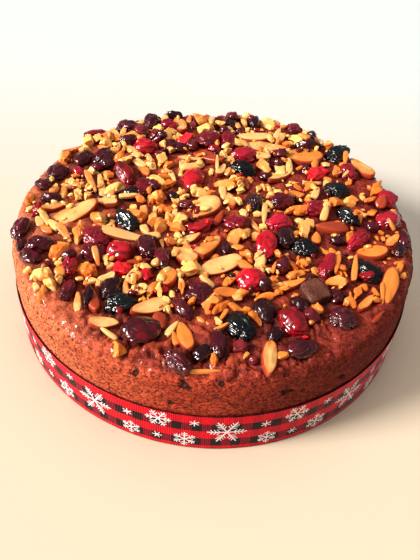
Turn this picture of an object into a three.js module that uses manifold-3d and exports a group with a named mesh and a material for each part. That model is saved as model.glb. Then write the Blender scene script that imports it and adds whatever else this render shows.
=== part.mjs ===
// Fruit cake: a 20 cm round cake, baked with fruit and nuts pressed into its top crust,
// with a ribbon wrapped once round its side and lapped at the back.
// Millimetres, +Z up. The origin is the middle of the underside, and the front of the cake faces -Y.

import * as THREE from 'three';
import { mergeVertices } from 'three/addons/utils/BufferGeometryUtils.js';
import Module from 'manifold-3d';

// Driving dimensions of the cake, from a 200 mm tin.
const wallRadius = 98.8;
const crustHeight = 49.4;
const backRise = 1.2;
const domeRise = 0.9;
const shoulderRadius = 7;
const shoulderLean = 0.6;
const bottomRounding = 1.5;
const wallPoints = 60;

// The top crust is not level: slow swells cross it, and they fade out towards the shoulder.
const swellHeight = 0.9;
const swellLength = 19;

// Driving dimensions of the ribbon, 25 mm wide and wound round the foot of the cake.
const ribbonWidth = 25;
const ribbonThickness = 0.4;
const ribbonLift = 0.5;
const ribbonLap = 22;
const ribbonBack = 90;

// Neighbouring pieces keep this much air between them.
const clearance = 0.42;

// Kinds of topping: height of the piece, the share of it that is sunk in the crust, the most it
// leans in degrees, and how far its skin is puckered.
const kinds = {
  cherry: { form: 'fruit', height: 8.4, sunk: 0.3, lean: 10, pucker: 0.05 },
  cranberry: { form: 'fruit', height: 6.6, sunk: 0.3, lean: 10, pucker: 0.12 },
  prune: { form: 'fruit', height: 7.6, sunk: 0.3, lean: 9, pucker: 0.14 },
  raisin: { form: 'fruit', height: 6.2, sunk: 0.3, lean: 9, pucker: 0.13 },
  almond: { form: 'kernel', height: 3.8, sunk: 0.3, lean: 13, pucker: 0 },
  walnut: { form: 'fruit', height: 7.2, sunk: 0.3, lean: 10, pucker: 0.2 },
  candied: { form: 'block', height: 5.2, sunk: 0.3, lean: 12, pucker: 0 },
  date: { form: 'block', height: 7.4, sunk: 0.3, lean: 10, pucker: 0 },
};

// Finish of every kind of piece.
const finishes = {
  crust: { color: 0x7a3a1c, roughness: 0.75 },
  ribbon: { color: 0xb3121f, roughness: 0.6 },
  cherry: { color: 0x9e0a12, roughness: 0.2 },
  cranberry: { color: 0x6b0f16, roughness: 0.3 },
  prune: { color: 0x140c0c, roughness: 0.3 },
  raisin: { color: 0x2c1216, roughness: 0.35 },
  almond: { color: 0xdcae62, roughness: 0.5 },
  walnut: { color: 0xb87a35, roughness: 0.6 },
  candied: { color: 0xa31a18, roughness: 0.3 },
  date: { color: 0x1d100c, roughness: 0.7 },
};

// The large pieces, each placed by hand: x, y, turn in degrees, length, width.
const largePieces = {
  cherry: [
    [-13, 26, 85, 19, 12],
    [25, -21, 85, 19, 10],
    [36, -66, -60, 15, 12],
    [-27, -77, 10, 16, 14],
    [18, -44, 0, 14, 12],
    [-7, 64, 0, 15, 13],
    [-49, 27, -50, 16, 9],
    [-43, -32, 0, 13, 11],
    [-41, 53, 0, 13, 10],
  ],
  cranberry: [
    [-84, 25, 60, 12, 11],
    [-70, 62, 20, 13, 9],
    [-54, 72, 0, 12, 11],
    [31, -4, 20, 13, 11],
    [11, -7, 0, 13, 9],
    [69, -12, 50, 16, 7],
    [88, 22, 70, 12, 10],
    [-91, -20, 80, 12, 8],
  ],
  prune: [
    [66, 60, 60, 19, 12],
    [13, 38, 0, 16, 11],
    [19, 9, 85, 17, 9],
    [-43, -9, -45, 17, 10],
    [71, -33, -40, 16, 11],
    [-37, -63, 15, 14, 10],
    [13, -71, -50, 18, 12],
    [66, 5, -50, 15, 8],
    [-11, -91, -35, 13, 8],
    [62, 26, 0, 14, 12],
    [43, -21, 0, 13, 11],
    [57, -63, 0, 13, 11],
  ],
  raisin: [
    [5, 82, 90, 13, 8],
    [-61, -57, 80, 14, 7],
    [-11, -64, -48, 13, 7],
  ],
  almond: [
    [46, 55, 0, 21, 14],
    [19, 71, 4, 20, 9],
    [25, 61, -3, 24, 8],
    [-67, -5, 40, 21, 9],
    [-5, 4, 50, 17, 12],
    [78, 48, -58, 18, 8],
    [80, -41, 76, 20, 7],
    [3, -36, 28, 22, 8],
    [-2, -24, 60, 17, 7],
    [-13, -31, -45, 14, 9],
    [-25, -64, 30, 17, 7],
    [-9, -78, -68, 16, 6],
    [25, -86, 86, 16, 6],
    [-5, 48, -35, 18, 7],
    [57, -4, 3, 16, 8],
    [75, -20, 5, 14, 8],
    [-50, -61, -65, 16, 5],
    [-24, 78, -72, 16, 7],
    [-42, -20.5, -2, 21, 6],
  ],
  walnut: [
    [-12, 87, 30, 12, 10],
    [29, 87, 30, 13, 10],
    [-70, -34, 80, 14, 9],
    [-63, -21, -75, 15, 8],
  ],
  candied: [
    [53, 40, 45, 15, 7],
    [-20, 62, 60, 13, 6],
  ],
  date: [
    [46, -49, -60, 12, 10],
  ],
};

// Medium pieces that are baked on, in groups of one kind: x, y, turn, length, width. They are one
// body with the crust.
const bakedPieces = {
  cherry: [
    [50, 65, 0, 14, 6],
  ],
  cranberry: [
    [-62, 40, 80, 12, 9],
    [13, 52, 0, 12, 9],
    [-55, -24, -30, 12, 9],
    [-36, 64, 90, 8, 7],
    [-38, 16, 70, 11, 8],
    [-30, 75, 0, 9, 7],
    [-28, 54, 30, 9, 8],
    [-51, 57, 10, 9, 6],
    [70, 42, -60, 10, 7],
    [-5, -54, 0, 11, 11],
    [-23, -35, -80, 12, 6],
    [-31, -28, -75, 13, 8],
    [50, 9, 10, 12, 8],
    [5, -81, 90, 12, 6],
    [-54, -34, 0, 10, 8],
    [-63, -44, 80, 11, 6],
    [53, -32, 65, 13, 6],
    [-79, -31, 20, 10, 8],
    [4, 65, 90, 14, 8],
    [86, 4, 30, 11, 9],
    [33, 12, 20, 11, 8],
  ],
  raisin: [
    [-41, 80, 90, 12, 8],
    [38, -80, 20, 12, 8],
    [24, -61, -70, 12, 8],
    [-29, 87, 10, 10, 6],
    [-73, 38, 75, 12, 8],
    [-43, 12, 30, 9, 7],
    [-82, 3, 0, 10, 6],
    [19, 86, 80, 10, 6],
    [42, 82, 0, 9, 8],
    [39, -57, -60, 10, 6],
    [32, -33, 85, 9, 7],
    [-43, -55, 80, 11, 8],
  ],
  walnut: [
    [4, 22, -25, 13, 8],
    [42, 7, 60, 11, 10],
    [-30, 10, 0, 10, 9],
    [10, -18, 60, 11, 9],
    [-56, -9, -20, 10, 9],
    [-55, -45, -30, 11, 8],
    [43, 71, -50, 11, 8],
    [-53, 14, 60, 11, 9],
    [-74, -49, -10, 11, 8],
    [44, -7, 75, 11, 8],
    [-54, 40, 90, 9, 8],
    [-9, 76, 20, 11, 7],
    [-30, 65, 90, 9, 8],
    [-26, -12, -75, 11, 7],
    [1, -58, 40, 11, 6],
    [56, -42, -20, 10, 8],
    [16, -28, -30, 9, 7],
    [-17, -7, 60, 9, 7],
    [-35, -86, -60, 8, 6],
    [-69, -54, -20, 8, 6],
    [-83, 39, 80, 10, 6],
  ],
  almond: [
    [-16, 44, 5, 14, 6],
    [-11, -20, 30, 12, 5],
    [-79, -3, 38, 15, 5],
    [33, 34, 42, 18, 5],
    [-19, -46, -85, 12, 9],
    [-43, -74, 5, 13, 6],
    [35, -45, 15, 16, 5],
    [7, 10, -70, 13, 6],
    [-54, 4, -30, 13, 8],
    [-46, -50, 50, 11, 6],
    [40, 19, 5, 10, 6],
    [64, 43, 90, 10, 4],
    [1, 36, 72, 13, 5],
    [7, -52, 22, 14, 6],
    [68, -53, 50, 12, 4],
    [86, -10, 50, 10, 5],
  ],
  candied: [
    [-8, -11, 10, 13, 8],
    [-40, -43, 0, 9, 7],
    [-29, -46, 80, 8, 7],
    [-87, -6, 90, 9, 5],
  ],
};

// The baked-on pieces are rounded with fewer faces than the large ones: faces around, rows.
const bakedFaces = [7, 3];

// Chopped nuts and small fruit fill the rest of the top, spread evenly by a golden-angle spiral.
const bitPlaces = 170;
const bitField = 91;
const bitSizes = [4.2, 7.6];
const bitSunk = 0.38;
const bitLean = 20;
const bitJitter = 2.6;
const bitGap = 0.8;
const goldenAngle = Math.PI * (3 - Math.sqrt(5));
// Bare crust shows at the front rim: x, y, radius of each patch that stays without bits.
const barePatches = [[-66, -76, 26], [62, -82, 22], [84, -62, 12]];

const wasm = await Module();
wasm.setup();

// Repeatable random numbers from 0 to 1 (linear congruential, 32 bits), one stream for each use.
function repeatable(seed) {
  let state = seed;
  return () => {
    state = (Math.imul(state, 1664525) + 1013904223) >>> 0;
    return state / 4294967296;
  };
}
const puckerDraw = repeatable(20261);
const largeDraw = repeatable(31277);
const bakedDraw = repeatable(47819);
const bitDraw = repeatable(59023);

// Height of the rim above a place: the cake stands a little higher at the back.
function rimHeight(x, y) {
  return crustHeight + backRise * y / wallRadius;
}

// Height of the top crust at a place, shoulder included.
function crustAt(x, y) {
  const r = Math.hypot(x, y);
  const edge = wallRadius - shoulderLean - shoulderRadius;
  const swell = Math.sin(x / swellLength + 0.6) * Math.cos(y / swellLength - 0.3);
  const inside = THREE.MathUtils.clamp(1 - (r / edge) ** 2, 0, 1);
  const past = Math.min(Math.max(r - edge, 0), shoulderRadius * 0.98);
  const drop = shoulderRadius - Math.sqrt(shoulderRadius ** 2 - past ** 2);
  return rimHeight(x, y) + (domeRise + swellHeight * swell) * inside - drop;
}

// Upward normal of the top crust at a place.
function crustNormal(x, y) {
  const step = 1.5;
  const slopeX = (crustAt(x + step, y) - crustAt(x - step, y)) / (2 * step);
  const slopeY = (crustAt(x, y + step) - crustAt(x, y - step)) / (2 * step);
  return new THREE.Vector3(-slopeX, -slopeY, 1).normalize();
}

// A closed geometry becomes a solid that can be joined and cut.
function solidFrom(geometry) {
  const bare = geometry.clone();
  bare.deleteAttribute('normal');
  bare.deleteAttribute('uv');
  const merged = mergeVertices(bare, 1e-4);
  const corners = merged.index.array;
  const faces = [];
  for (let i = 0; i < corners.length; i += 3) {
    const [a, b, c] = corners.slice(i, i + 3);
    if (a !== b && b !== c && c !== a) faces.push(a, b, c);
  }
  const vertProperties = new Float32Array(merged.attributes.position.array);
  const triVerts = new Uint32Array(faces);
  return new wasm.Manifold(new wasm.Mesh({ numProp: 3, vertProperties, triVerts }));
}

function geometryFrom(solid) {
  const mesh = solid.getMesh();
  const geometry = new THREE.BufferGeometry();
  geometry.setAttribute('position', new THREE.BufferAttribute(mesh.vertProperties, 3));
  geometry.setIndex(new THREE.BufferAttribute(mesh.triVerts, 1));
  geometry.computeVertexNormals();
  return geometry;
}

// Triangles between a ring of points and the next ring inwards or upwards. The rings may differ in
// number, and either may be a single point.
function stitch(faces, lower, upper) {
  const lowerSteps = lower.length > 1 ? lower.length : 0;
  const upperSteps = upper.length > 1 ? upper.length : 0;
  let i = 0;
  let j = 0;
  while (i < lowerSteps || j < upperSteps) {
    const a = lower[i % lower.length];
    const b = upper[j % upper.length];
    const lowerIsBehind = (i + 1) * upperSteps <= (j + 1) * lowerSteps;
    if (j >= upperSteps || (i < lowerSteps && lowerIsBehind)) {
      i += 1;
      faces.push(a, lower[i % lower.length], b);
    } else {
      j += 1;
      faces.push(a, upper[j % upper.length], b);
    }
  }
}

// Core of the cake: rings of points from the middle of the underside, up the wall and over the
// shoulder to the middle of the top. The round wall has many points and the top has few.
function cakeCore() {
  const shoulderFoot = wallRadius - shoulderLean;
  const rings = [
    [wallRadius - bottomRounding, wallPoints, () => 0],
    [wallRadius, wallPoints, () => bottomRounding],
    [wallRadius, wallPoints, () => ribbonWidth + 2],
  ];
  for (const turn of [0, 30, 60, 90]) {
    const angle = THREE.MathUtils.degToRad(turn);
    const r = shoulderFoot - shoulderRadius * (1 - Math.cos(angle));
    const drop = shoulderRadius * (1 - Math.sin(angle));
    rings.push([r, wallPoints, (x, y) => rimHeight(x, y) - drop]);
  }
  rings.push([70, wallPoints / 2, crustAt], [40, wallPoints / 4, crustAt]);

  const places = [[0, 0, 0]];
  const faces = [];
  let lower = [0];
  for (const [r, count, heightAt] of rings) {
    const upper = [];
    for (let i = 0; i < count; i += 1) {
      const angle = 2 * Math.PI * i / count;
      const x = r * Math.cos(angle);
      const y = r * Math.sin(angle);
      upper.push(places.length);
      places.push([x, y, heightAt(x, y)]);
    }
    stitch(faces, lower, upper);
    lower = upper;
  }
  stitch(faces, lower, [places.length]);
  places.push([0, 0, crustAt(0, 0)]);
  const geometry = new THREE.BufferGeometry();
  geometry.setAttribute('position', new THREE.Float32BufferAttribute(places.flat(), 3));
  geometry.setIndex(faces);
  return geometry;
}

// Raisins, cherries, berries and nut halves: a faceted ball, puckered in and out at random.
function fruitForm(length, width, height, pucker, [around, rows] = [9, 4]) {
  const ball = bareCopy(new THREE.SphereGeometry(0.5, around, rows));
  const geometry = mergeVertices(ball, 1e-4);
  geometry.rotateX(Math.PI / 2);
  const place = geometry.attributes.position;
  for (let i = 0; i < place.count; i += 1) {
    const grow = 1 - pucker * puckerDraw();
    place.setXYZ(i, place.getX(i) * grow, place.getY(i) * grow, place.getZ(i) * grow);
  }
  return geometry.scale(length, width, height);
}

// Almond halves and slices: a flat kernel, round at one end and pointed at the other.
function kernelForm(length, width, height, pucker, [around, rows] = [10, 4]) {
  const ball = bareCopy(new THREE.SphereGeometry(0.5, around, rows));
  const geometry = mergeVertices(ball, 1e-4);
  geometry.rotateX(Math.PI / 2);
  const place = geometry.attributes.position;
  const sharpen = 0.45;
  const widest = 1.12;
  const flatten = 0.4;
  for (let i = 0; i < place.count; i += 1) {
    const narrow = widest * (1 - sharpen * (place.getX(i) + 0.5) ** 2);
    const z = place.getZ(i);
    place.setY(i, place.getY(i) * narrow);
    place.setZ(i, 0.5 * Math.sign(z) * Math.abs(2 * z) ** flatten);
  }
  return geometry.scale(length, width, height);
}

// Candied strips and date cubes: a block with its edges taken off.
function blockForm(length, width, height) {
  const corner = 0.22;
  const outline = new THREE.Shape();
  const reach = 0.5 - corner * 0.5;
  outline.moveTo(-reach, -0.5);
  outline.lineTo(reach, -0.5);
  outline.lineTo(0.5, -reach);
  outline.lineTo(0.5, reach);
  outline.lineTo(reach, 0.5);
  outline.lineTo(-reach, 0.5);
  outline.lineTo(-0.5, reach);
  outline.lineTo(-0.5, -reach);
  outline.closePath();
  const depth = 1;
  const geometry = new THREE.ExtrudeGeometry(outline, { depth, steps: 2, bevelEnabled: false });
  const place = geometry.attributes.position;
  for (let i = 0; i < place.count; i += 1) {
    const end = Math.abs(place.getZ(i) - depth / 2) > depth / 4;
    const shrink = end ? 0.8 : 1;
    place.setXY(i, place.getX(i) * shrink, place.getY(i) * shrink);
  }
  return geometry.translate(0, 0, -depth / 2).scale(length, width, height);
}

function bareCopy(geometry) {
  geometry.deleteAttribute('normal');
  geometry.deleteAttribute('uv');
  return geometry;
}

const forms = { fruit: fruitForm, kernel: kernelForm, block: blockForm };

// Seat of a piece on the crust: its length lies along the turn, its underside is sunk in, and it
// leans some degrees towards a direction, both drawn at random.
function seat(x, y, turn, height, sunk, lean, draw) {
  const up = crustNormal(x, y);
  const tilt = Math.tan(THREE.MathUtils.degToRad(lean)) * THREE.MathUtils.lerp(0.4, 1, draw());
  const towards = 2 * Math.PI * draw();
  up.add(new THREE.Vector3(Math.cos(towards) * tilt, Math.sin(towards) * tilt, 0)).normalize();
  const angle = THREE.MathUtils.degToRad(turn);
  const along = new THREE.Vector3(Math.cos(angle), Math.sin(angle), 0);
  along.addScaledVector(up, -along.dot(up)).normalize();
  const across = new THREE.Vector3().crossVectors(up, along);
  const place = new THREE.Vector3(x, y, crustAt(x, y));
  place.addScaledVector(up, height * (0.5 - sunk));
  return new THREE.Matrix4().makeBasis(along, across, up).setPosition(place);
}

function finished(name, geometry, finish) {
  const material = new THREE.MeshStandardMaterial({ ...finishes[finish], metalness: 0 });
  material.name = finish;
  const mesh = new THREE.Mesh(geometry, material);
  mesh.name = name;
  return mesh;
}

// Large toppings, each a piece of its own, and the pockets that they sit in.
const toppings = new THREE.Group();
const taken = [];
const pockets = [];
for (const [kind, places] of Object.entries(largePieces)) {
  const { form, height, sunk, lean, pucker } = kinds[kind];
  places.forEach(([x, y, turn, length, width], index) => {
    const geometry = forms[form](length, width, height, pucker);
    const mesh = finished(`${kind}_${index + 1}`, geometry, kind);
    const matrix = seat(x, y, turn, height, sunk, lean, largeDraw);
    matrix.decompose(mesh.position, mesh.quaternion, mesh.scale);
    toppings.add(mesh);
    const room = 2 * clearance;
    const pocket = geometry.clone();
    pocket.scale((length + room) / length, (width + room) / width, (height + room) / height);
    pockets.push(solidFrom(pocket.applyMatrix4(matrix)));
    taken.push({ x, y, turn, length: length + room, width: width + room });
  });
}

// True where a round bit of this radius stays clear of every piece placed so far.
function isFree(x, y, radius) {
  for (const piece of taken) {
    const angle = THREE.MathUtils.degToRad(piece.turn);
    const dx = x - piece.x;
    const dy = y - piece.y;
    const along = dx * Math.cos(angle) + dy * Math.sin(angle);
    const across = dy * Math.cos(angle) - dx * Math.sin(angle);
    const reachAlong = piece.length / 2 + radius + bitGap;
    const reachAcross = piece.width / 2 + radius + bitGap;
    if ((along / reachAlong) ** 2 + (across / reachAcross) ** 2 < 1) return false;
  }
  return barePatches.every(([px, py, reach]) => Math.hypot(x - px, y - py) > reach);
}

// Cake: the core, with the baked-on pieces and bits joined to it, and the pockets cut last.
let cake = solidFrom(cakeCore());
for (const [kind, places] of Object.entries(bakedPieces)) {
  const { form, height, sunk, lean, pucker } = kinds[kind];
  for (const [x, y, turn, length, width] of places) {
    const geometry = forms[form](length, width, height, pucker, bakedFaces);
    const matrix = seat(x, y, turn, height, sunk, lean, bakedDraw);
    cake = cake.add(solidFrom(geometry.applyMatrix4(matrix)));
    taken.push({ x, y, turn, length, width });
  }
}

for (let i = 0; i < bitPlaces; i += 1) {
  const r = bitField * Math.sqrt((i + 0.5) / bitPlaces);
  const angle = i * goldenAngle;
  const x = r * Math.cos(angle) + bitJitter * (bitDraw() - 0.5);
  const y = r * Math.sin(angle) + bitJitter * (bitDraw() - 0.5);
  const size = THREE.MathUtils.lerp(bitSizes[0], bitSizes[1], bitDraw() ** 2);
  const slim = THREE.MathUtils.lerp(0.5, 0.9, bitDraw());
  const flat = THREE.MathUtils.lerp(0.6, 0.9, bitDraw());
  const turn = 360 * bitDraw();
  const matrix = seat(x, y, turn, size * flat, bitSunk, bitLean, bitDraw);
  if (isFree(x, y, size * 0.5)) {
    const bit = new THREE.IcosahedronGeometry(0.5, 0).scale(size, size * slim, size * flat);
    cake = cake.add(solidFrom(bit.applyMatrix4(matrix)));
    taken.push({ x, y, turn, length: size, width: size * slim });
  }
}
for (const pocket of pockets) cake = cake.subtract(pocket);

// Ribbon: a strip wound once round the cake, its free end lapped over its beginning at the back.
function ribbonForm() {
  const inner = wallRadius + clearance;
  const lapLift = ribbonThickness + clearance;
  const steps = wallPoints + 4;
  const outerEdge = [];
  const innerEdge = [];
  for (let i = 0; i <= steps; i += 1) {
    const turn = ribbonBack - ribbonLap / 2 + i * (360 + ribbonLap) / steps;
    const past = (turn - ribbonBack + ribbonLap / 2 - (360 - ribbonLap / 2)) / (ribbonLap / 2);
    const r = inner + lapLift * THREE.MathUtils.smoothstep(past, 0, 1);
    const angle = THREE.MathUtils.degToRad(turn);
    innerEdge.push(new THREE.Vector2(r * Math.cos(angle), r * Math.sin(angle)));
    const outer = r + ribbonThickness;
    outerEdge.push(new THREE.Vector2(outer * Math.cos(angle), outer * Math.sin(angle)));
  }
  const outline = new THREE.Shape([...outerEdge, ...innerEdge.reverse()]);
  const options = { depth: ribbonWidth, bevelEnabled: false };
  return new THREE.ExtrudeGeometry(outline, options).translate(0, 0, ribbonLift);
}

const fruitCake = new THREE.Group();
fruitCake.add(finished('cake', geometryFrom(cake), 'crust'));
fruitCake.add(finished('ribbon', ribbonForm(), 'ribbon'));
fruitCake.add(toppings);

export default fruitCake;
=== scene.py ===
import math

import bpy
import numpy as np
from mathutils import Matrix, Vector, kdtree, noise


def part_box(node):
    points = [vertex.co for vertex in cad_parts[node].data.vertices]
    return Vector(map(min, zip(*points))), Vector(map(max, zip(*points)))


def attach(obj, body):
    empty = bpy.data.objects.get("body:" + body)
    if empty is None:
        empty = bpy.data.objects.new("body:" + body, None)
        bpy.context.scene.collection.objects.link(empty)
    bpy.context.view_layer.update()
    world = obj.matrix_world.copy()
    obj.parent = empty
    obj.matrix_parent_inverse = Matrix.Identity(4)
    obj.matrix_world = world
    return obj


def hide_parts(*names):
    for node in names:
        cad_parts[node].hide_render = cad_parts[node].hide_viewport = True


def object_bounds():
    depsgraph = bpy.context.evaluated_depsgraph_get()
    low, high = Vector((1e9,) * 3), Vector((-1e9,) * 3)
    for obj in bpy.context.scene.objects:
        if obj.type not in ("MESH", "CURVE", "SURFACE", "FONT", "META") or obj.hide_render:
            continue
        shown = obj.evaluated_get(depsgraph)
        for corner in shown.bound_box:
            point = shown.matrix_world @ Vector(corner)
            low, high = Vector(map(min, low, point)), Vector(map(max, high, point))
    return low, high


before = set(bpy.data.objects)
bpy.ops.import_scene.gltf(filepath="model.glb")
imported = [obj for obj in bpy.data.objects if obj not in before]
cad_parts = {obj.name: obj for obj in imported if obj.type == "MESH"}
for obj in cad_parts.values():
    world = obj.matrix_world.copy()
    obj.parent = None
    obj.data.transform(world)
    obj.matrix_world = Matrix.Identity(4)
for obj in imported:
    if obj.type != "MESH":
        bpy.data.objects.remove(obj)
cad_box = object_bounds()
mm = 0.001


# ---------------------------------------------------------------------------------------------
# Cake.
# One round of baked fruit cake turned out of its tin: a matt, finely pored wall, a rounded upper
# edge, and a darker top crust that is sticky where syrup was brushed on. Metres, Z up.
# ---------------------------------------------------------------------------------------------
low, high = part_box("cake")
wall_radius = (high.x - low.x) / 2
crust_height = 49.4 * mm
back_rise = 1.2 * mm
dome_rise = 0.9 * mm
swell_height = 0.9 * mm
swell_length = 19 * mm
swell_shift = (0.6, -0.3)
shoulder_radius = 7 * mm
shoulder_lean = 0.6 * mm
shoulder_foot = wall_radius - shoulder_lean
shoulder_top = crust_height - shoulder_radius
crust_edge = shoulder_foot - shoulder_radius
bottom_rounding = 1.5 * mm
ribbon_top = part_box("ribbon")[1].z
plain_margin = 1.5 * mm
wall_start = ribbon_top + plain_margin
turns, arc_steps = 800, 14
merge_gap = 1e-6


def crust_at(x, y):
    """Height of the bare top crust at a place, the rounded upper edge included."""
    r = np.hypot(x, y)
    swell = np.sin(x / swell_length + swell_shift[0]) * np.cos(y / swell_length + swell_shift[1])
    inside = np.clip(1 - (r / crust_edge) ** 2, 0, 1)
    past = np.clip(r - crust_edge, 0, shoulder_radius * 0.98)
    drop = shoulder_radius - np.sqrt(shoulder_radius**2 - past**2)
    rim = crust_height + back_rise * y / wall_radius
    return rim + (dome_rise + swell_height * swell) * inside - drop


def spread(start, end, step):
    """Points from start up to, but not including, end, about a step apart."""
    count = max(1, round(math.dist(start, end) / step))
    return [tuple(np.add(start, np.subtract(end, start) * i / count)) for i in range(count)]


def smooth(value, start, end):
    """0 before start, 1 after end, and a soft slope between."""
    t = np.clip((value - start) / (end - start), 0, 1)
    return t * t * (3 - 2 * t)


# Corners of the outline, from the middle of the underside up to the foot of the rounded edge, and
# how fine the mesh is from each one to the next.
stops = (
    ((0, 0), 30 * mm),
    ((wall_radius - bottom_rounding, 0), 2 * mm),
    ((wall_radius, bottom_rounding), 8 * mm),
    ((wall_radius, ribbon_top - plain_margin), 0.8 * mm),
    ((wall_radius, wall_start), 0.62 * mm),
    ((shoulder_foot, shoulder_top), 0),
)
top_step = 1.25 * mm
profile = []
for (start, step), (end, _) in zip(stops, stops[1:]):
    profile += spread(start, end, step)
for i in range(arc_steps):
    angle = math.pi / 2 * i / arc_steps
    r = crust_edge + shoulder_radius * math.cos(angle)
    profile.append((r, shoulder_top + shoulder_radius * math.sin(angle)))
profile += spread((crust_edge, crust_height), (0, crust_height), top_step)
profile.append((0, crust_height))


def new_piece(name, points, edges, faces):
    """A new mesh object made from its points, the only one selected."""
    mesh = bpy.data.meshes.new(name)
    mesh.from_pydata(points, edges, faces)
    piece = bpy.data.objects.new(name, mesh)
    bpy.context.scene.collection.objects.link(piece)
    bpy.ops.object.select_all(action="DESELECT")
    bpy.context.view_layer.objects.active = piece
    piece.select_set(True)
    return piece


edges = [(i, i + 1) for i in range(len(profile) - 1)]
crust = new_piece("cake_crust", [(r, 0, z) for r, z in profile], edges, [])
bpy.ops.object.mode_set(mode="EDIT")
bpy.ops.mesh.select_all(action="SELECT")
bpy.ops.mesh.spin(steps=turns, angle=2 * math.pi, center=(0, 0, 0), axis=(0, 0, 1))
bpy.ops.mesh.select_all(action="SELECT")
bpy.ops.mesh.remove_doubles(threshold=merge_gap)
bpy.ops.mesh.normals_make_consistent(inside=False)
bpy.ops.object.mode_set(mode="OBJECT")


def places_of(mesh):
    """Vertex places of a mesh as an array."""
    flat = np.zeros(len(mesh.vertices) * 3)
    mesh.vertices.foreach_get("co", flat)
    return flat.reshape(-1, 3)


def put_places(mesh, places):
    """Moves the vertices of a mesh to the places of an array."""
    mesh.vertices.foreach_set("co", places.ravel())
    mesh.update()


def mark(mesh, name, values):
    """Stores a number, or a vector, for each vertex under a name that materials can read."""
    values = np.asarray(values, np.float32)
    kind = "FLOAT_VECTOR" if values.ndim == 2 else "FLOAT"
    layer = mesh.attributes.new(name, kind, "POINT")
    layer.data.foreach_set("vector" if values.ndim == 2 else "value", values.ravel())


# The wall and the rounded edge rise a little towards the back, and the top follows its swells.
place = places_of(crust.data)
radius = np.hypot(place[:, 0], place[:, 1])
on_top = (place[:, 2] > crust_height - merge_gap) & (radius < crust_edge + merge_gap)
share = np.clip((place[:, 2] - wall_start) / (shoulder_top - wall_start), 0, 1)
place[:, 2] += share * back_rise * place[:, 1] / wall_radius
place[on_top, 2] = crust_at(place[on_top, 0], place[on_top, 1])
put_places(crust.data, place)

# Baked relief, by the width and the height or depth of each form: slow lumps everywhere, crumbs and
# open pores in the wall, folded clumps on top, and cobbles with cracks between them along the front
# of the rim, where the cake rose and broke.
lump_size, lump_rise = 13 * mm, 0.7 * mm
crumb_size, crumb_rise, crumb_flatness = 2.2 * mm, 0.3 * mm, 1.7
pore_size, pore_depth, pore_share, pore_reach = 2.1 * mm, 0.65 * mm, 0.3, 0.36
clump_size, clump_rise, clump_level = 6.5 * mm, 1.9 * mm, 0.3
cobble_size, cobble_rise, crack_depth = 10 * mm, 2.9 * mm, 1.1 * mm
cobble_slope, crack_reach = 0.24, 0.14
rim_from, rim_to = 60 * mm, 84 * mm
front_half, front_fade = 42 * mm, 68 * mm
# The middle of each pore and cobble, spread out by these, gives it a luck of its own.
pore_luck, cobble_luck = 31.7, 17.3
# Where fruit shows in the wall there is a ragged dark dent: distance along the wall from the front,
# height and half width, in millimetres.
fruit_spots = (
    (-7.2, 43, 2.6), (6.5, 45, 2), (-28, 44, 1.7), (-13, 31, 1.6), (35, 37, 2.6), (62, 33, 1.8),
    (108, 40, 2.6), (151, 34, 2), (196, 42, 3), (243, 36, 2.2), (-298, 41, 2.6), (-252, 33, 2),
    (-205, 43, 2.8), (-160, 36, 2.2), (-114, 42, 2.4), (-74, 35, 1.8),
)
spot_flatness, dent_depth, dent_edge = 1.3, 1.2 * mm, 1.6 * mm


def crumb_at(flat):
    """Crumbs of two sizes, above and below the wall."""
    return noise.noise(flat / crumb_size + Vector((7, 1, 4))) + 0.6 * noise.noise(flat / crumb_size * 2)


def pore_at(flat, crumb):
    """An open pore in some of the cells: 1 in its middle, and its outline torn by the crumbs."""
    reach, middles = noise.voronoi(flat / pore_size + Vector((crumb, 0, crumb)) * 0.3)
    chosen = noise.cell(middles[0] * pore_luck) > 1 - 2 * pore_share
    return chosen * max(0.0, 1 - reach[0] / pore_reach)


def clump_at(spot):
    """Folded clumps of two sizes, above and below the top."""
    clump = abs(noise.noise(spot / clump_size)) + 0.55 * abs(noise.noise(spot / clump_size * 2.3))
    return clump - clump_level


def cobble_at(spot):
    """How far a cobble of the broken rim stands up, and how open the crack beside it is."""
    spot = spot / cobble_size
    warp = noise.noise_vector(spot * 1.7) * 0.5 + noise.noise_vector(spot * 5) * 0.12
    near, middles = noise.voronoi(spot + warp)
    gap = near[1] - near[0]
    stands = max(0.0, noise.cell(middles[0] * cobble_luck))
    return float(smooth(gap, 0.0, cobble_slope)) * stands, 1 - float(smooth(gap, 0.0, crack_reach))


normal = np.zeros(len(place) * 3)
crust.data.vertices.foreach_get("normal", normal)
normal = normal.reshape(-1, 3)
shown = smooth(place[:, 2], ribbon_top - 0.5 * mm, wall_start)
topness = smooth(place[:, 2], crust_height - 5 * mm, crust_height - 0.5 * mm)
rimness = smooth(radius, rim_from, rim_to) * smooth(abs(place[:, 0]), front_fade, front_half)
turned = np.arctan2(place[:, 1], place[:, 0])
along_wall = ((turned + math.pi / 2 + math.pi) % (2 * math.pi) - math.pi) * wall_radius
spots = np.full(len(place), -1.0)
for s, z, reach in fruit_spots:
    away = np.hypot(along_wall - s * mm, (place[:, 2] - z * mm) * spot_flatness) / (reach * mm)
    spots = np.maximum(spots, np.where(radius > crust_edge, 1 - away, -1))
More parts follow.
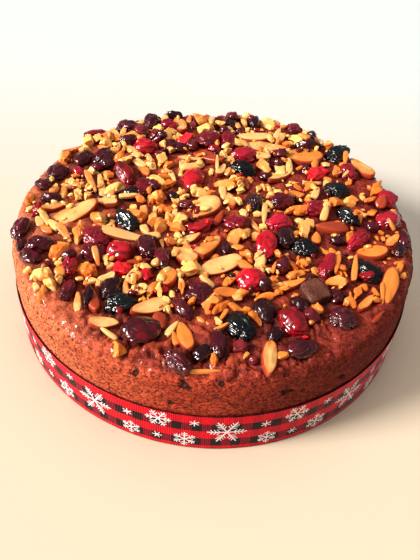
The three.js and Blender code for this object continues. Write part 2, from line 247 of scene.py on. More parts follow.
# Blender's noise vectors start from the clock unless they are given a seed.
noise.seed_set(5)
relief, hollow_shade, fruity = np.zeros((3, len(place)))
for i in np.nonzero(shown)[0]:
    spot = Vector(place[i])
    flat = Vector((spot.x, spot.y, spot.z * crumb_flatness))
    lump = noise.noise(spot / lump_size) * lump_rise
    crumb = crumb_at(flat)
    pore = pore_at(flat, crumb)
    clump = clump_at(spot) * topness[i]
    cobble, crack = (value * topness[i] * rimness[i] for value in cobble_at(spot))
    ragged = spots[i] + 0.9 * noise.noise(spot / dent_edge) if spots[i] > -1 else -1
    fruity[i] = min(1.0, max(0.0, ragged * 1.1))
    dent = min(1.0, fruity[i] * 2.5) * (1 - 0.7 * fruity[i])
    relief[i] = lump + crumb * crumb_rise + clump * clump_rise + cobble * cobble_rise
    relief[i] -= pore * pore_depth + crack * crack_depth + dent * dent_depth
    # Painted shade: the pore mark darkens the pores, the hollows of clumps and crumbs, and the cracks.
    hollow_shade[i] = max(0.7 * pore, max(0.0, -clump * 0.8), 0.25 * max(0.0, -crumb), 0.85 * crack)
put_places(crust.data, place + normal * (relief * shown)[:, None])
mark(crust.data, "top", topness)
mark(crust.data, "pore", hollow_shade)
mark(crust.data, "fruit", fruity)
for face in crust.data.polygons:
    face.use_smooth = True


def wired(tree, kind, settings=None, inputs=None):
    """A shader node with its settings, and its inputs set to values or linked to other sockets."""
    node = tree.nodes.new("ShaderNode" + kind)
    for name, value in (settings or {}).items():
        setattr(node, name, value)
    for name, value in (inputs or {}).items():
        if isinstance(value, bpy.types.NodeSocket):
            tree.links.new(value, node.inputs[name])
        else:
            node.inputs[name].default_value = value
    return node


def blend_colour(tree, share, first, second):
    """Colour between first and second by share."""
    node = wired(tree, "Mix", {"data_type": "RGBA"}, {0: share, 6: first, 7: second})
    return node.outputs[2]


def sums(tree, operation, *values):
    """One step of arithmetic on sockets or numbers."""
    return wired(tree, "Math", {"operation": operation}, dict(enumerate(values))).outputs[0]


def plus(tree, first, second):
    return sums(tree, "ADD", first, second)


def times(tree, first, second):
    return sums(tree, "MULTIPLY", first, second)


def ramp(tree, value, start, end, low_value=0.0, high_value=1.0):
    """A value carried from one range to another, with soft ends."""
    settings = {"interpolation_type": "SMOOTHSTEP"}
    inputs = {0: value, 1: start, 2: end, 3: low_value, 4: high_value}
    return wired(tree, "MapRange", settings, inputs).outputs[0]


def mottle(tree, coordinates, scale, detail=3.0, roughness=0.55):
    """Soft noise from 0 to 1."""
    inputs = {"Vector": coordinates, "Scale": scale, "Detail": detail, "Roughness": roughness}
    return wired(tree, "TexNoise", {}, inputs).outputs[0]


def attribute(tree, name, output="Fac"):
    """A number or vector stored for each vertex."""
    return wired(tree, "Attribute", {"attribute_name": name}).outputs[output]


def object_place(tree):
    """Object coordinates."""
    return wired(tree, "TexCoord").outputs["Object"]


def painted(name, **constants):
    """A new material with its shader in place, its plain numbers set on the shader itself."""
    material = bpy.data.materials.new(name)
    material.use_nodes = True
    tree = material.node_tree
    tree.nodes.clear()
    shader = wired(tree, "BsdfPrincipled", {}, {k.replace("_", " "): v for k, v in constants.items()})
    output = wired(tree, "OutputMaterial")
    tree.links.new(shader.outputs[0], output.inputs[0])
    return material, tree, shader


def feed(tree, shader, **sockets):
    """Links sockets to the inputs of a shader, which are named with _ for a space."""
    for name, socket in sockets.items():
        tree.links.new(socket, shader.inputs[name.replace("_", " ")])


def rgb(red, green, blue):
    """A shader colour from screen values of 0 to 255."""
    shares = [value / 255 for value in (red, green, blue)]
    linear = [s / 12.92 if s < 0.04045 else ((s + 0.055) / 1.055) ** 2.4 for s in shares]
    return (*linear, 1.0)


gold_dark = rgb(178, 88, 56)
gold_light = rgb(228, 142, 96)
russet_dark = rgb(130, 36, 18)
russet_light = rgb(204, 84, 48)
brown_dark = rgb(92, 20, 14)
brown_light = rgb(148, 54, 38)
hollow_shade_brown = rgb(64, 14, 10)
top_dark = rgb(122, 34, 22)
top_light = rgb(194, 86, 56)
fruit_dark = rgb(52, 22, 17)
fruit_brown = rgb(100, 50, 34)
syrup_and_shade_brown = rgb(84, 22, 16)

material, tree, shader = painted("baked crumb", Specular_IOR_Level=0.35, Coat_Roughness=0.12)
spot = object_place(tree)
top_mark, hollow_shade_mark, fruit_mark, syrup_and_shade_mark = (
    attribute(tree, name) for name in ("top", "pore", "fruit", "syrup_and_shade")
)
stretched = wired(tree, "Mapping", {}, {"Vector": spot, "Scale": (1, 1, 1.6)}).outputs[0]
# The wall is lighter and golden on the left, towards the window, russet in front and dark brown round
# on the right, away from it: partly baked darker on that side, partly painted light and shade.
across = wired(tree, "SeparateXYZ", {}, {0: spot}).outputs["X"]
sideways = plus(tree, across, times(tree, mottle(tree, spot, 60), 0.04))
russet_and_shade_share = ramp(tree, sideways, -0.075, 0.01)
brown_and_shade_share = ramp(tree, sideways, 0.0, 0.085)
speckle = mottle(tree, stretched, 800, 4, 0.7)
grit = wired(tree, "TexVoronoi", {}, {"Vector": stretched, "Scale": 900.0}).outputs["Distance"]
pit = ramp(tree, mottle(tree, stretched, 700, 2), 0.44, 0.37)
pit = times(tree, pit, ramp(tree, top_mark, 0.0, 0.8, 1.0, 0.25))
patchy = plus(tree, times(tree, speckle, 0.75), times(tree, mottle(tree, spot, 260), 0.25))
grain = ramp(tree, patchy, 0.38, 0.62)
gold = blend_colour(tree, grain, gold_dark, gold_light)
brown = blend_colour(tree, grain, brown_dark, brown_light)
russet = blend_colour(tree, grain, russet_dark, russet_light)
side = blend_colour(tree, brown_and_shade_share, blend_colour(tree, russet_and_shade_share, gold, russet), brown)
# The top took more colour, and is darker where syrup ran under and between the pieces: partly
# syrup, partly painted shade.
clumpy = plus(tree, times(tree, grain, 0.25), times(tree, mottle(tree, spot, 210, 3), 0.75))
baked = blend_colour(tree, ramp(tree, clumpy, 0.3, 0.7), top_dark, top_light)
# The top too is golder on the left and browner on the right: partly baked colour, partly painted light
# and shade.
baked = blend_colour(tree, ramp(tree, sideways, 0.0, -0.07, 0.0, 0.5), baked, gold)
baked = blend_colour(tree, times(tree, brown_and_shade_share, 0.85), baked, brown)
baked = blend_colour(tree, times(tree, syrup_and_shade_mark, 0.75), baked, syrup_and_shade_brown)
colour = blend_colour(tree, top_mark, side, baked)
# Painted shade in the pores, hollows and cracks, and in small pits that are also dents in the bump.
dark = sums(tree, "MAXIMUM", times(tree, hollow_shade_mark, 0.95), times(tree, pit, 0.8))
colour = blend_colour(tree, dark, colour, hollow_shade_brown)
colour = blend_colour(tree, ramp(tree, fruit_mark, 0.08, 0.3), colour, fruit_dark)
colour = blend_colour(tree, ramp(tree, fruit_mark, 0.55, 0.9, 0.0, 0.8), colour, fruit_brown)
brushed = sums(tree, "MAXIMUM", syrup_and_shade_mark, times(tree, top_mark, 0.7))
wet = times(tree, brushed, ramp(tree, mottle(tree, spot, 240), 0.38, 0.58))
height = plus(tree, speckle, sums(tree, "MINIMUM", grit, 0.45))
height = sums(tree, "SUBTRACT", height, times(tree, pit, 0.7))
bump = wired(tree, "Bump", {}, {"Strength": 1.0, "Distance": 0.5 * mm, "Height": height})
feed(
    tree, shader, Base_Color=colour, Roughness=sums(tree, "SUBTRACT", 0.82, times(tree, wet, 0.3)),
    Coat_Weight=times(tree, wet, 0.6), Normal=bump.outputs[0],
)
crust.data.materials.append(material)
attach(crust, "root")
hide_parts("cake")


# ---------------------------------------------------------------------------------------------
# Glazed cherries.
# Whole and halved cherries boiled in syrup, bright red and wet, with a dent where the stone was.
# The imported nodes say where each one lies; this is also where the ways of shaping and laying a
# piece of fruit are first needed.
# ---------------------------------------------------------------------------------------------
def repeatable(seed):
    """A stream of repeatable random numbers from 0 to 1."""
    state = seed

    def draw():
        nonlocal state
        state = (state * 1664525 + 1013904223) % 4294967296
        return state / 4294967296

    return draw


def taken(made):
    """Points and triangles of a modelled object, which is then removed."""
    points = places_of(made.data)
    faces = np.array([tuple(face.vertices) for face in made.data.polygons])
    bpy.data.objects.remove(made)
    return points, faces


def ball(level):
    """Points and triangles of a modelled ball, half a unit in radius."""
    bpy.ops.object.select_all(action="DESELECT")
    bpy.ops.mesh.primitive_ico_sphere_add(subdivisions=level, radius=0.5)
    return taken(bpy.context.object)


def fitted(points):
    """Points moved and scaled to fill the unit box."""
    lowest, highest = points.min(0), points.max(0)
    return (points - (lowest + highest) / 2) / (highest - lowest)


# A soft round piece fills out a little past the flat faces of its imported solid.
rounded_out = 1.09


def lie_of(node):
    """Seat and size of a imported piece, measured along its own length, width and height."""
    points = places_of(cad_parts[node].data)
    axes = np.linalg.eigh(np.cov((points - points.mean(0)).T))[1]
    up = axes[:, np.argmax(np.abs(axes[2]))]
    up = up * np.sign(up[2])
    flat = [axes[:, i] for i in range(3) if abs(axes[:, i] @ up) < 0.5]
    along = max(flat, key=lambda axis: np.ptp(points @ axis))
    turned = np.array([along, np.cross(up, along), up])
    local = points @ turned.T
    middle = turned.T @ ((local.min(0) + local.max(0)) / 2)
    seat = Matrix.Translation(middle) @ Matrix(turned.T).to_4x4()
    return seat, np.ptp(local, axis=0) * rounded_out


def nodes_of(kind):
    """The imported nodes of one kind, in order."""
    names = [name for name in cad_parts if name.rsplit("_", 1)[0] == kind]
    return sorted(names, key=lambda name: int(name.rsplit("_", 1)[1]))


# A map of how high the heap stands, so that later pieces lie on the earlier ones.
map_step = 0.5 * mm
map_reach = 110 * mm
ticks = np.arange(-map_reach, map_reach, map_step)
map_x, map_y = np.meshgrid(ticks, ticks, indexing="ij")
heap_map = crust_at(map_x, map_y)
heaps = {}


def lay(kind, shape, seat, size, tone):
    """Adds a copy of a shape to the heap of its kind, and raises the map where it lies."""
    heaps.setdefault(kind, []).append((shape, seat, np.array(size, float), tone))
    along, across, up = (Vector(seat.col[i][:3]) for i in range(3))
    middle = seat.translation
    reach = max(size) / 2
    near = tuple(slice(*np.searchsorted(ticks, (c - reach, c + reach))) for c in middle[:2])
    dx, dy = map_x[near] - middle.x, map_y[near] - middle.y
    dz = -(up.x * dx + up.y * dy) / up.z
    a = (dx * along.x + dy * along.y + dz * along.z) * 2 / size[0]
    b = (dx * across.x + dy * across.y + dz * across.z) * 2 / size[1]
    crown = np.sqrt(np.clip(1 - a * a - b * b, 0, 1))
    top = np.where(crown > 0, middle.z + dz + crown * size[2] / 2, 0)
    heap_map[near] = np.maximum(heap_map[near], top)


def lay_nodes(kind, shapes, tone_of, swell=1.0):
    """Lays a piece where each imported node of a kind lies, its shapes in turn."""
    for i, node in enumerate(nodes_of(kind)):
        seat, size = lie_of(node)
        lay(kind, shapes[i % len(shapes)], seat, size * swell, tone_of(node))


def gathered(name, kind, smooth_angle):
    """One mesh of all the copies in a heap, each with its own coordinates, tone and edge marks."""
    points, faces, own, tones, edge_marks = [], [], [], [], []
    count = 0
    for (corners, triangles, edge), seat, size, tone in heaps[kind]:
        local = corners * size
        points.append(local @ np.array(seat.to_3x3()).T + np.array(seat.translation))
        faces.append(triangles + count)
        own.append(local + np.array([3.1, 1.7, 2.3]) * tone)
        tones.append(np.full(len(corners), tone))
        edge_marks.append(edge)
        count += len(corners)
    piece = new_piece(name, np.concatenate(points).tolist(), [], np.concatenate(faces).tolist())
    mark(piece.data, "own", np.concatenate(own))
    mark(piece.data, "tone", np.concatenate(tones))
    mark(piece.data, "edge", np.concatenate(edge_marks))
    bpy.ops.object.shade_smooth_by_angle(angle=math.radians(smooth_angle))
    return piece


def fruit(level, seed, folds, depth, fine, ridge, sag=0.2, along=1.0):
    """A soft fruit: a ball that sags, with deep folds and finer ridges. The edge mark, on the folds,
    carries painted shade.
    """
    points, faces = ball(level)
    shift = Vector((seed * 3.7, seed * 1.3, seed * 2.9))
    edge = np.zeros(len(points))
    for i, point in enumerate(points):
        way = Vector(point).normalized()
        warp = Vector((noise.noise(way * 2 + shift), noise.noise(way * 2 - shift), 0)) * 0.5
        fold = max(0.0, 1 - abs(noise.noise(way * folds + warp + shift)) * 3.2) ** 2
        grain = Vector((way.x * along, way.y, way.z)) * fine + warp * 0.6 - shift
        wrinkle = max(0.0, 1 - abs(noise.noise(grain)) * 2.6) ** 1.5
        swell = noise.noise(way * 1.3 + shift * 2) * sag
        points[i] = way * (0.5 * (1 + swell - depth * fold - ridge * wrinkle))
        edge[i] = min(1.0, fold + 0.4 * wrinkle)
    return fitted(points), faces, edge


draw = repeatable(7411)
cherry_shapes = [fruit(5, seed, 1.0, 0.1, 2.4, 0.015) for seed in range(1, 10)]
# How bright each cherry is, from dark crimson to bright red.
cherry_tones = dict(zip(nodes_of("cherry"), (0.8, 0.9, 0.45, 0.2, 1.0, 0.4, 0.35, 0.75, 0.8)))
lay_nodes("cherry", cherry_shapes, cherry_tones.get)


def food_group(name, colours, numbers=()):
    """A shader group for a heap: its inputs and outputs, and the own, tone and edge marks."""
    group = bpy.data.node_groups.new(name, "ShaderNodeTree")
    for socket in colours:
        group.interface.new_socket(socket, in_out="INPUT", socket_type="NodeSocketColor")
    for socket in numbers:
        group.interface.new_socket(socket, in_out="INPUT", socket_type="NodeSocketFloat")
    for socket, kind in (("Color", "Color"), ("Roughness", "Float"), ("Height", "Float")):
        group.interface.new_socket(socket, in_out="OUTPUT", socket_type="NodeSocket" + kind)
    given = group.nodes.new("NodeGroupInput").outputs
    result = group.nodes.new("NodeGroupOutput").inputs
    own = attribute(group, "own", "Vector")
    return group, given, result, own, attribute(group, "tone"), attribute(group, "edge")


def skin_group():
    """Sticky fruit skin: its own tone in deep and bright patches, and the deep colour in the creases as
    painted shade.
    """
    colours = ("Deep", "Bright", "Edge glow")
    group, given, result, own, tone, edge = food_group("sticky skin", colours, ("Wrinkle",))
    bright = times(group, mottle(group, own, 150), 0.9)
    bright = plus(group, bright, sums(group, "SUBTRACT", tone, 0.45))
    colour = blend_colour(group, ramp(group, bright, 0.1, 0.75), given["Deep"], given["Bright"])
    colour = blend_colour(group, ramp(group, bright, 0.6, 1.15, 0.0, 0.8), colour, given["Edge glow"])
    # Painted shade in the creases of the fruit, where the edge mark is high; on cut blocks it darkens the
    # rims.
    colour = blend_colour(group, ramp(group, edge, 0.2, 1.0, 0.0, 0.5), colour, given["Deep"])
    group.links.new(colour, result["Color"])
    group.links.new(ramp(group, mottle(group, own, 420), 0.35, 0.7, 0.2, 0.42), result["Roughness"])
    group.links.new(mottle(group, own, given["Wrinkle"], 2), result["Height"])
    return group


sticky_skin = skin_group()


def food_finish(name, group, fills, strength, depth, **constants):
    """A material with the look of a shared group, filled in, and its plain numbers."""
    material, tree, shader = painted(name, **constants)
    look = tree.nodes.new("ShaderNodeGroup")
    look.node_tree = group
    for socket, value in zip(look.inputs, fills):
        socket.default_value = value
    inputs = {"Strength": strength, "Distance": depth, "Height": look.outputs["Height"]}
    bump = wired(tree, "Bump", {}, inputs).outputs[0]
    feed(tree, shader, Base_Color=look.outputs[0], Roughness=look.outputs[1], Normal=bump)
    return material


cherry_skin = food_finish(
    "glazed cherry", sticky_skin, (rgb(60, 0, 10), rgb(166, 0, 22), rgb(206, 6, 42), 300.0),
    0.7, 0.05 * mm, Coat_Weight=0.9, Coat_Roughness=0.05, Specular_IOR_Level=0.6,
)


# ---------------------------------------------------------------------------------------------
# Dried cranberries.
# Dark crimson berries, sweetened and dried, then soaked: folded skins with a wet shine.
# ---------------------------------------------------------------------------------------------
def drawn(node):
    """A tone drawn at random, whichever node it is for."""
    return draw()


cranberry_shapes = [fruit(5, seed, 1.1, 0.16, 2.8, 0.06) for seed in range(11, 16)]
lay_nodes("cranberry", cranberry_shapes, drawn, 1.06)
cranberry_skin = food_finish(
    "dried cranberry", sticky_skin, (rgb(66, 0, 15), rgb(138, 6, 30), rgb(188, 16, 50), 320.0),
    0.7, 0.06 * mm, Coat_Weight=0.8, Coat_Roughness=0.08, Specular_IOR_Level=0.6,
)


# ---------------------------------------------------------------------------------------------
# Prunes and black raisins.
# Nearly black fruit with skins that dried into long, deep wrinkles along their length.
# ---------------------------------------------------------------------------------------------
prune_shapes = [fruit(5, seed, 0.9, 0.14, 4.0, 0.2, along=0.06) for seed in range(21, 26)]
# Most are black; these few dried to a dark purple or maroon.
prune_tones = {"prune_9": 1.5, "prune_12": 0.95, "prune_3": 0.8}
lay_nodes("prune", prune_shapes, lambda node: prune_tones.get(node, 0.6 * draw()))
prune_skin = food_finish(
    "black prune", sticky_skin, (rgb(5, 6, 8), rgb(18, 22, 26), rgb(104, 14, 30), 300.0),
    0.7, 0.03 * mm, Coat_Weight=0.75, Coat_Roughness=0.1, Specular_IOR_Level=0.6,
)


# ---------------------------------------------------------------------------------------------
# Raisins.
# Purple brown raisins, smaller and softer than the prunes, on the top and just under the wall.
# ---------------------------------------------------------------------------------------------
raisin_shapes = [fruit(4, seed, 1.1, 0.15, 3.4, 0.12, along=0.2) for seed in range(31, 36)]
lay_nodes("raisin", raisin_shapes, drawn)
raisin_skin = food_finish(
    "brown raisin", sticky_skin, (rgb(40, 7, 14), rgb(94, 20, 30), rgb(134, 38, 42), 320.0),
    0.7, 0.08 * mm, Coat_Weight=0.6, Coat_Roughness=0.12, Specular_IOR_Level=0.5,
)


# ---------------------------------------------------------------------------------------------
# Almonds.
# Flat slices and split halves of toasted almond: a pale cut face, and a thin brown skin that is
# left on the edge. Some lie skin side up.
# ---------------------------------------------------------------------------------------------
def almond(level, seed, point=0.42, flat=0.24, bow=0.1, cut=0.0):
    """A flat kernel, round at one end and pointed at the other. The edge mark is 1 on its skin."""
    points, faces = ball(level)
    unit = points * 2
    rim = np.hypot(unit[:, 0], unit[:, 1])
    x = unit[:, 0]
    narrow = 1 - point * ((x + 1) / 2) ** 2
    z = np.sign(unit[:, 2]) * np.abs(unit[:, 2]) ** flat
    wave = np.array([noise.noise(Vector((a * 1.5 + seed, b * 1.5, seed))) for a, b in unit[:, :2]])
    y = unit[:, 1] * narrow * (1 + 0.12 * wave)
    lifted = z + bow * 4 * (x * x) + 0.25 * wave
    if cut:
        x = np.minimum(x, cut)
    edge = np.maximum(smooth(rim, 0.86, 0.97), 0.42 * smooth(rim, 0.4, 0.9))
    return fitted(np.stack([x, y, lifted], 1)), faces, edge


almond_shapes = [almond(4, seed) for seed in (1.5, 2.5, 3.5)]
almond_shapes += [almond(4, 4.5, cut=0.45), almond(4, 5.5, point=0.6, bow=-0.08)]
skinny_shapes = [(corners, faces, np.ones(len(edge))) for corners, faces, edge in almond_shapes]
skin_up = {"almond_14", "almond_15", "almond_17"}
# The one at the right edge is toasted deeper than its neighbours.
almond_tones = {"almond_7": 0.8}
for i, node in enumerate(nodes_of("almond")):
    seat, size = lie_of(node)
    shapes = skinny_shapes if node in skin_up else almond_shapes
    tone = draw()
    lay("almond", shapes[i % 5], seat, size, almond_tones.get(node, tone))


def nut_group():
    """Toasted nut: a pale inside, toasted patches, a thin skin by the edge mark, painted shade in walnut
    creases.
    """
    group, given, result, own, tone, edge = food_group("toasted nut", ("Pale", "Toasted", "Skin"))
    # The nuts take more of the toasted colour towards the front right.
    axes = wired(group, "SeparateXYZ", {}, {0: object_place(group)}).outputs
    aside = sums(group, "SUBTRACT", axes["X"], times(group, axes["Y"], 0.6))
    deeper = ramp(group, aside, -0.03, 0.1, -0.12, 0.34)
    patch = plus(group, mottle(group, own, 130), ramp(group, tone, 0.0, 1.0, -0.22, 0.3))
    patch = plus(group, patch, plus(group, deeper, times(group, edge, 0.3)))
    colour = blend_colour(group, ramp(group, patch, 0.4, 0.8), given["Pale"], given["Toasted"])
    ragged = plus(group, edge, times(group, mottle(group, own, 500), 0.5))
    colour = blend_colour(group, ramp(group, ragged, 0.62, 1.05, 0.0, 0.9), colour, given["Skin"])
    group.links.new(colour, result["Color"])
    group.links.new(ramp(group, mottle(group, own, 260), 0.3, 0.7, 0.28, 0.55), result["Roughness"])
    group.links.new(mottle(group, own, 900, 3), result["Height"])
    return group


toasted_nut = nut_group()
# Light goes a little way into a nut and comes out warmer.
nut_surface = {
    "Coat_Weight": 0.3, "Coat_Roughness": 0.15, "Specular_IOR_Level": 0.4,
    "Subsurface_Weight": 0.4, "Subsurface_Radius": (1.0, 0.4, 0.12), "Subsurface_Scale": 2 * mm,
}
almond_finish = food_finish(
    "toasted almond", toasted_nut, (rgb(224, 176, 114), rgb(210, 124, 54), rgb(150, 50, 32)),
    0.5, 0.15 * mm, **nut_surface,
)


# ---------------------------------------------------------------------------------------------
# Walnuts.
# Broken walnut halves and chopped bits: lobed and creased, golden where they toasted.
# ---------------------------------------------------------------------------------------------
def random_way(pick):
    """A direction drawn at random."""
    return Vector((pick() - 0.5, pick() - 0.5, pick() - 0.5)).normalized()


def walnut(level, seed, curl=0.0, breaks=2):
    """A broken piece of walnut: creased lobes, straight or curled, cut by pale broken faces."""
    points, faces = ball(level)
    pick = repeatable(seed * 9973)
    ways = [random_way(pick) for _ in range(7)]
    tall = [0.15 + 0.15 * pick() for _ in ways]
    sharp = [4.5 + 6 * pick() for _ in ways]
    edge = np.zeros(len(points))
    for i, point in enumerate(points):
        way = Vector(point).normalized()
        lobe = sorted(t * math.exp(k * (way.dot(w) - 1)) for w, t, k in zip(ways, tall, sharp))
        fold = noise.noise(way * 2.6 + Vector((seed, 0, 0))) * 0.06
        points[i] = way * (0.27 + lobe[-1] + 0.15 * lobe[-2] + fold)
        # Painted shade as well as skin: the edge mark is highest in the creases where two lobes meet.
        edge[i] = (1 - min(1.0, (lobe[-1] - lobe[-2]) / 0.05)) ** 2 * 0.6
    points = fitted(points)
    if curl:
        bent, across = points[:, 0] * curl, points[:, 1] * 0.6 + 1 / curl
        points[:, 0], points[:, 1] = across * np.sin(bent), across * np.cos(bent)
        points = fitted(points)
    edge = np.maximum(edge, 0.46)
    for _ in range(breaks):
        way = np.array(random_way(pick))
        past = points @ way - (0.16 + 0.16 * pick())
        points = points - np.outer(np.maximum(past, 0), way)
        edge[past > 0] = 0.12
    return fitted(points), faces, edge


walnut_shapes = [walnut(4, seed, seed % 2 * 2.8) for seed in range(1, 9)]
lay_nodes("walnut", walnut_shapes, drawn)
walnut_finish = food_finish(
    "toasted walnut", toasted_nut, (rgb(242, 188, 112), rgb(222, 126, 52), rgb(156, 66, 28)),
    0.5, 0.3 * mm, **nut_surface,
)


# ---------------------------------------------------------------------------------------------
# Candied fruit and date.
# Red candied peel cut into strips, clear and sticky, and one cube cut from a dried date.
# ---------------------------------------------------------------------------------------------
def block(level, seed, square=0.5, wobble=0.3):
    """A cut block with rounded edges and uneven faces."""
    points, faces = ball(level)
    unit = points * 2
    unit = np.sign(unit) * np.abs(unit) ** square
    shift = Vector((seed * 4.3, seed * 1.9, seed * 3.1))
    bumps = np.array([noise.noise(Vector(p) * 1.6 + shift) for p in unit])
    edge = smooth(np.abs(unit).min(1), 0.5, 0.95)
    return fitted(unit * (1 + wobble * bumps)[:, None]), faces, edge


block_shapes = [block(4, seed, 0.66, 0.5) for seed in (1, 2, 3)]
lay_nodes("candied", block_shapes, lambda node: 1.0)
lay_nodes("date", [block(4, 4, 0.42, 0.16)], lambda node: 0.7)
candied_finish = food_finish(
    "candied peel", sticky_skin, (rgb(130, 4, 18), rgb(210, 10, 30), rgb(236, 44, 56), 400.0),
    0.7, 0.12 * mm, Coat_Weight=0.6, Coat_Roughness=0.08, Specular_IOR_Level=0.6,
)
date_finish = food_finish(
    "chopped date", sticky_skin, (rgb(26, 14, 12), rgb(92, 55, 45), rgb(128, 84, 68), 700.0),
    0.7, 1.2 * mm, Coat_Weight=0.0, Coat_Roughness=0.4, Specular_IOR_Level=0.2,
)


# ---------------------------------------------------------------------------------------------
# Pieces baked to the crust.
# Medium pieces at listed places, and chopped bits spread on a golden-angle spiral. They are one
# body with the cake in the imported model, so they lie exactly where that body has them.
# ---------------------------------------------------------------------------------------------
def crust_normal(x, y):
    """Upward normal of the top crust at a place."""
    step = 1.5 * mm
    slope_x = (crust_at(x + step, y) - crust_at(x - step, y)) / (2 * step)
    slope_y = (crust_at(x, y + step) - crust_at(x, y - step)) / (2 * step)
    return Vector((-slope_x, -slope_y, 1)).normalized()


def heading_of(turn):
    """Level direction at a turn in degrees."""
    return Vector((math.cos(math.radians(turn)), math.sin(math.radians(turn)), 0))


def seat_of(middle, along, up):
    """Seat with its length along one direction and its height along another."""
    turned = Matrix((along, up.cross(along), up)).transposed()
    return Matrix.Translation(middle) @ turned.to_4x4()


def seat_on(x, y, turn, height, sunk, lean, pick):
    """Seat on the crust: length along the turn in degrees, underside sunk in, leaning a little."""
    up = crust_normal(x, y)
    tilt = math.tan(math.radians(lean)) * (0.4 + 0.6 * pick())
    towards = 2 * math.pi * pick()
    up = (up + Vector((math.cos(towards) * tilt, math.sin(towards) * tilt, 0))).normalized()
    along = heading_of(turn)
    along = (along - up * along.dot(up)).normalized()
    middle = Vector((x, y, float(crust_at(x, y)))) + up * height * (0.5 - sunk)
    return seat_of(middle, along, up)


shapes_of = {
    "cherry": cherry_shapes,
    "cranberry": cranberry_shapes,
    "raisin": raisin_shapes,
    "almond": almond_shapes,
    "walnut": walnut_shapes,
    "candied": block_shapes,
}
heights = {"cherry": 8.4, "cranberry": 6.6, "raisin": 6.2, "almond": 3.8, "walnut": 7.2, "candied": 5.2}
leans = {"cherry": 10, "cranberry": 10, "raisin": 9, "almond": 13, "walnut": 10, "candied": 12}
# x, y, turn in degrees, length and width in millimetres.
baked_pieces = {
    "cherry": (
        (50, 65, 0, 14, 6),
    ),
    "cranberry": (
        (-62, 40, 80, 12, 9), (13, 52, 0, 12, 9), (-55, -24, -30, 12, 9), (-36, 64, 90, 8, 7),
        (-38, 16, 70, 11, 8), (-30, 75, 0, 9, 7), (-28, 54, 30, 9, 8), (-51, 57, 10, 9, 6),
        (70, 42, -60, 10, 7), (-5, -54, 0, 11, 11), (-23, -35, -80, 12, 6), (-31, -28, -75, 13, 8),
        (50, 9, 10, 12, 8), (5, -81, 90, 12, 6), (-54, -34, 0, 10, 8), (-63, -44, 80, 11, 6),
        (53, -32, 65, 13, 6), (-79, -31, 20, 10, 8), (4, 65, 90, 14, 8), (86, 4, 30, 11, 9),
        (33, 12, 20, 11, 8),
    ),
    "raisin": (
        (-41, 80, 90, 12, 8), (38, -80, 20, 12, 8), (24, -61, -70, 12, 8), (-29, 87, 10, 10, 6),
        (-73, 38, 75, 12, 8), (-43, 12, 30, 9, 7), (-82, 3, 0, 10, 6), (19, 86, 80, 10, 6),
        (42, 82, 0, 9, 8), (39, -57, -60, 10, 6), (32, -33, 85, 9, 7), (-43, -55, 80, 11, 8),
    ),
    "walnut": (
        (4, 22, -25, 13, 8), (42, 7, 60, 11, 10), (-30, 10, 0, 10, 9), (10, -18, 60, 11, 9),
        (-56, -9, -20, 10, 9), (-55, -45, -30, 11, 8), (43, 71, -50, 11, 8), (-53, 14, 60, 11, 9),
        (-74, -49, -10, 11, 8), (44, -7, 75, 11, 8), (-54, 40, 90, 9, 8), (-9, 76, 20, 11, 7),
        (-30, 65, 90, 9, 8), (-26, -12, -75, 11, 7), (1, -58, 40, 11, 6), (56, -42, -20, 10, 8),
        (16, -28, -30, 9, 7), (-17, -7, 60, 9, 7), (-35, -86, -60, 8, 6), (-69, -54, -20, 8, 6),
        (-83, 39, 80, 10, 6),
    ),
    "almond": (
        (-16, 44, 5, 14, 6), (-11, -20, 30, 12, 5), (-79, -3, 38, 15, 5), (33, 34, 42, 18, 5),
        (-19, -46, -85, 12, 9), (-43, -74, 5, 13, 6), (35, -45, 15, 16, 5), (7, 10, -70, 13, 6),
        (-54, 4, -30, 13, 8), (-46, -50, 50, 11, 6), (40, 19, 5, 10, 6), (64, 43, 90, 10, 4),
        (1, 36, 72, 13, 5), (7, -52, 22, 14, 6), (68, -53, 50, 12, 4), (86, -10, 50, 10, 5),
    ),
    "candied": (
        (-8, -11, 10, 13, 8), (-40, -43, 0, 9, 7), (-29, -46, 80, 8, 7), (-87, -6, 90, 9, 5),
    ),
}
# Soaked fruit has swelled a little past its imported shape.
swollen = {"cherry": 1.1, "cranberry": 1.25, "raisin": 1.2}
baked_sunk = 0.3
dark_cherry = 0.1
baked_draw = repeatable(47819)
for kind, places in baked_pieces.items():
    for i, (x, y, turn, length, width) in enumerate(places):
        height = heights[kind] * mm
        seat = seat_on(x * mm, y * mm, turn, height, baked_sunk, leans[kind], baked_draw)
        size = np.array((length * mm, width * mm, height)) * swollen.get(kind, 1)
        tone = draw()
        lay(kind, shapes_of[kind][i % 3], seat, size, dark_cherry if kind == "cherry" else tone)

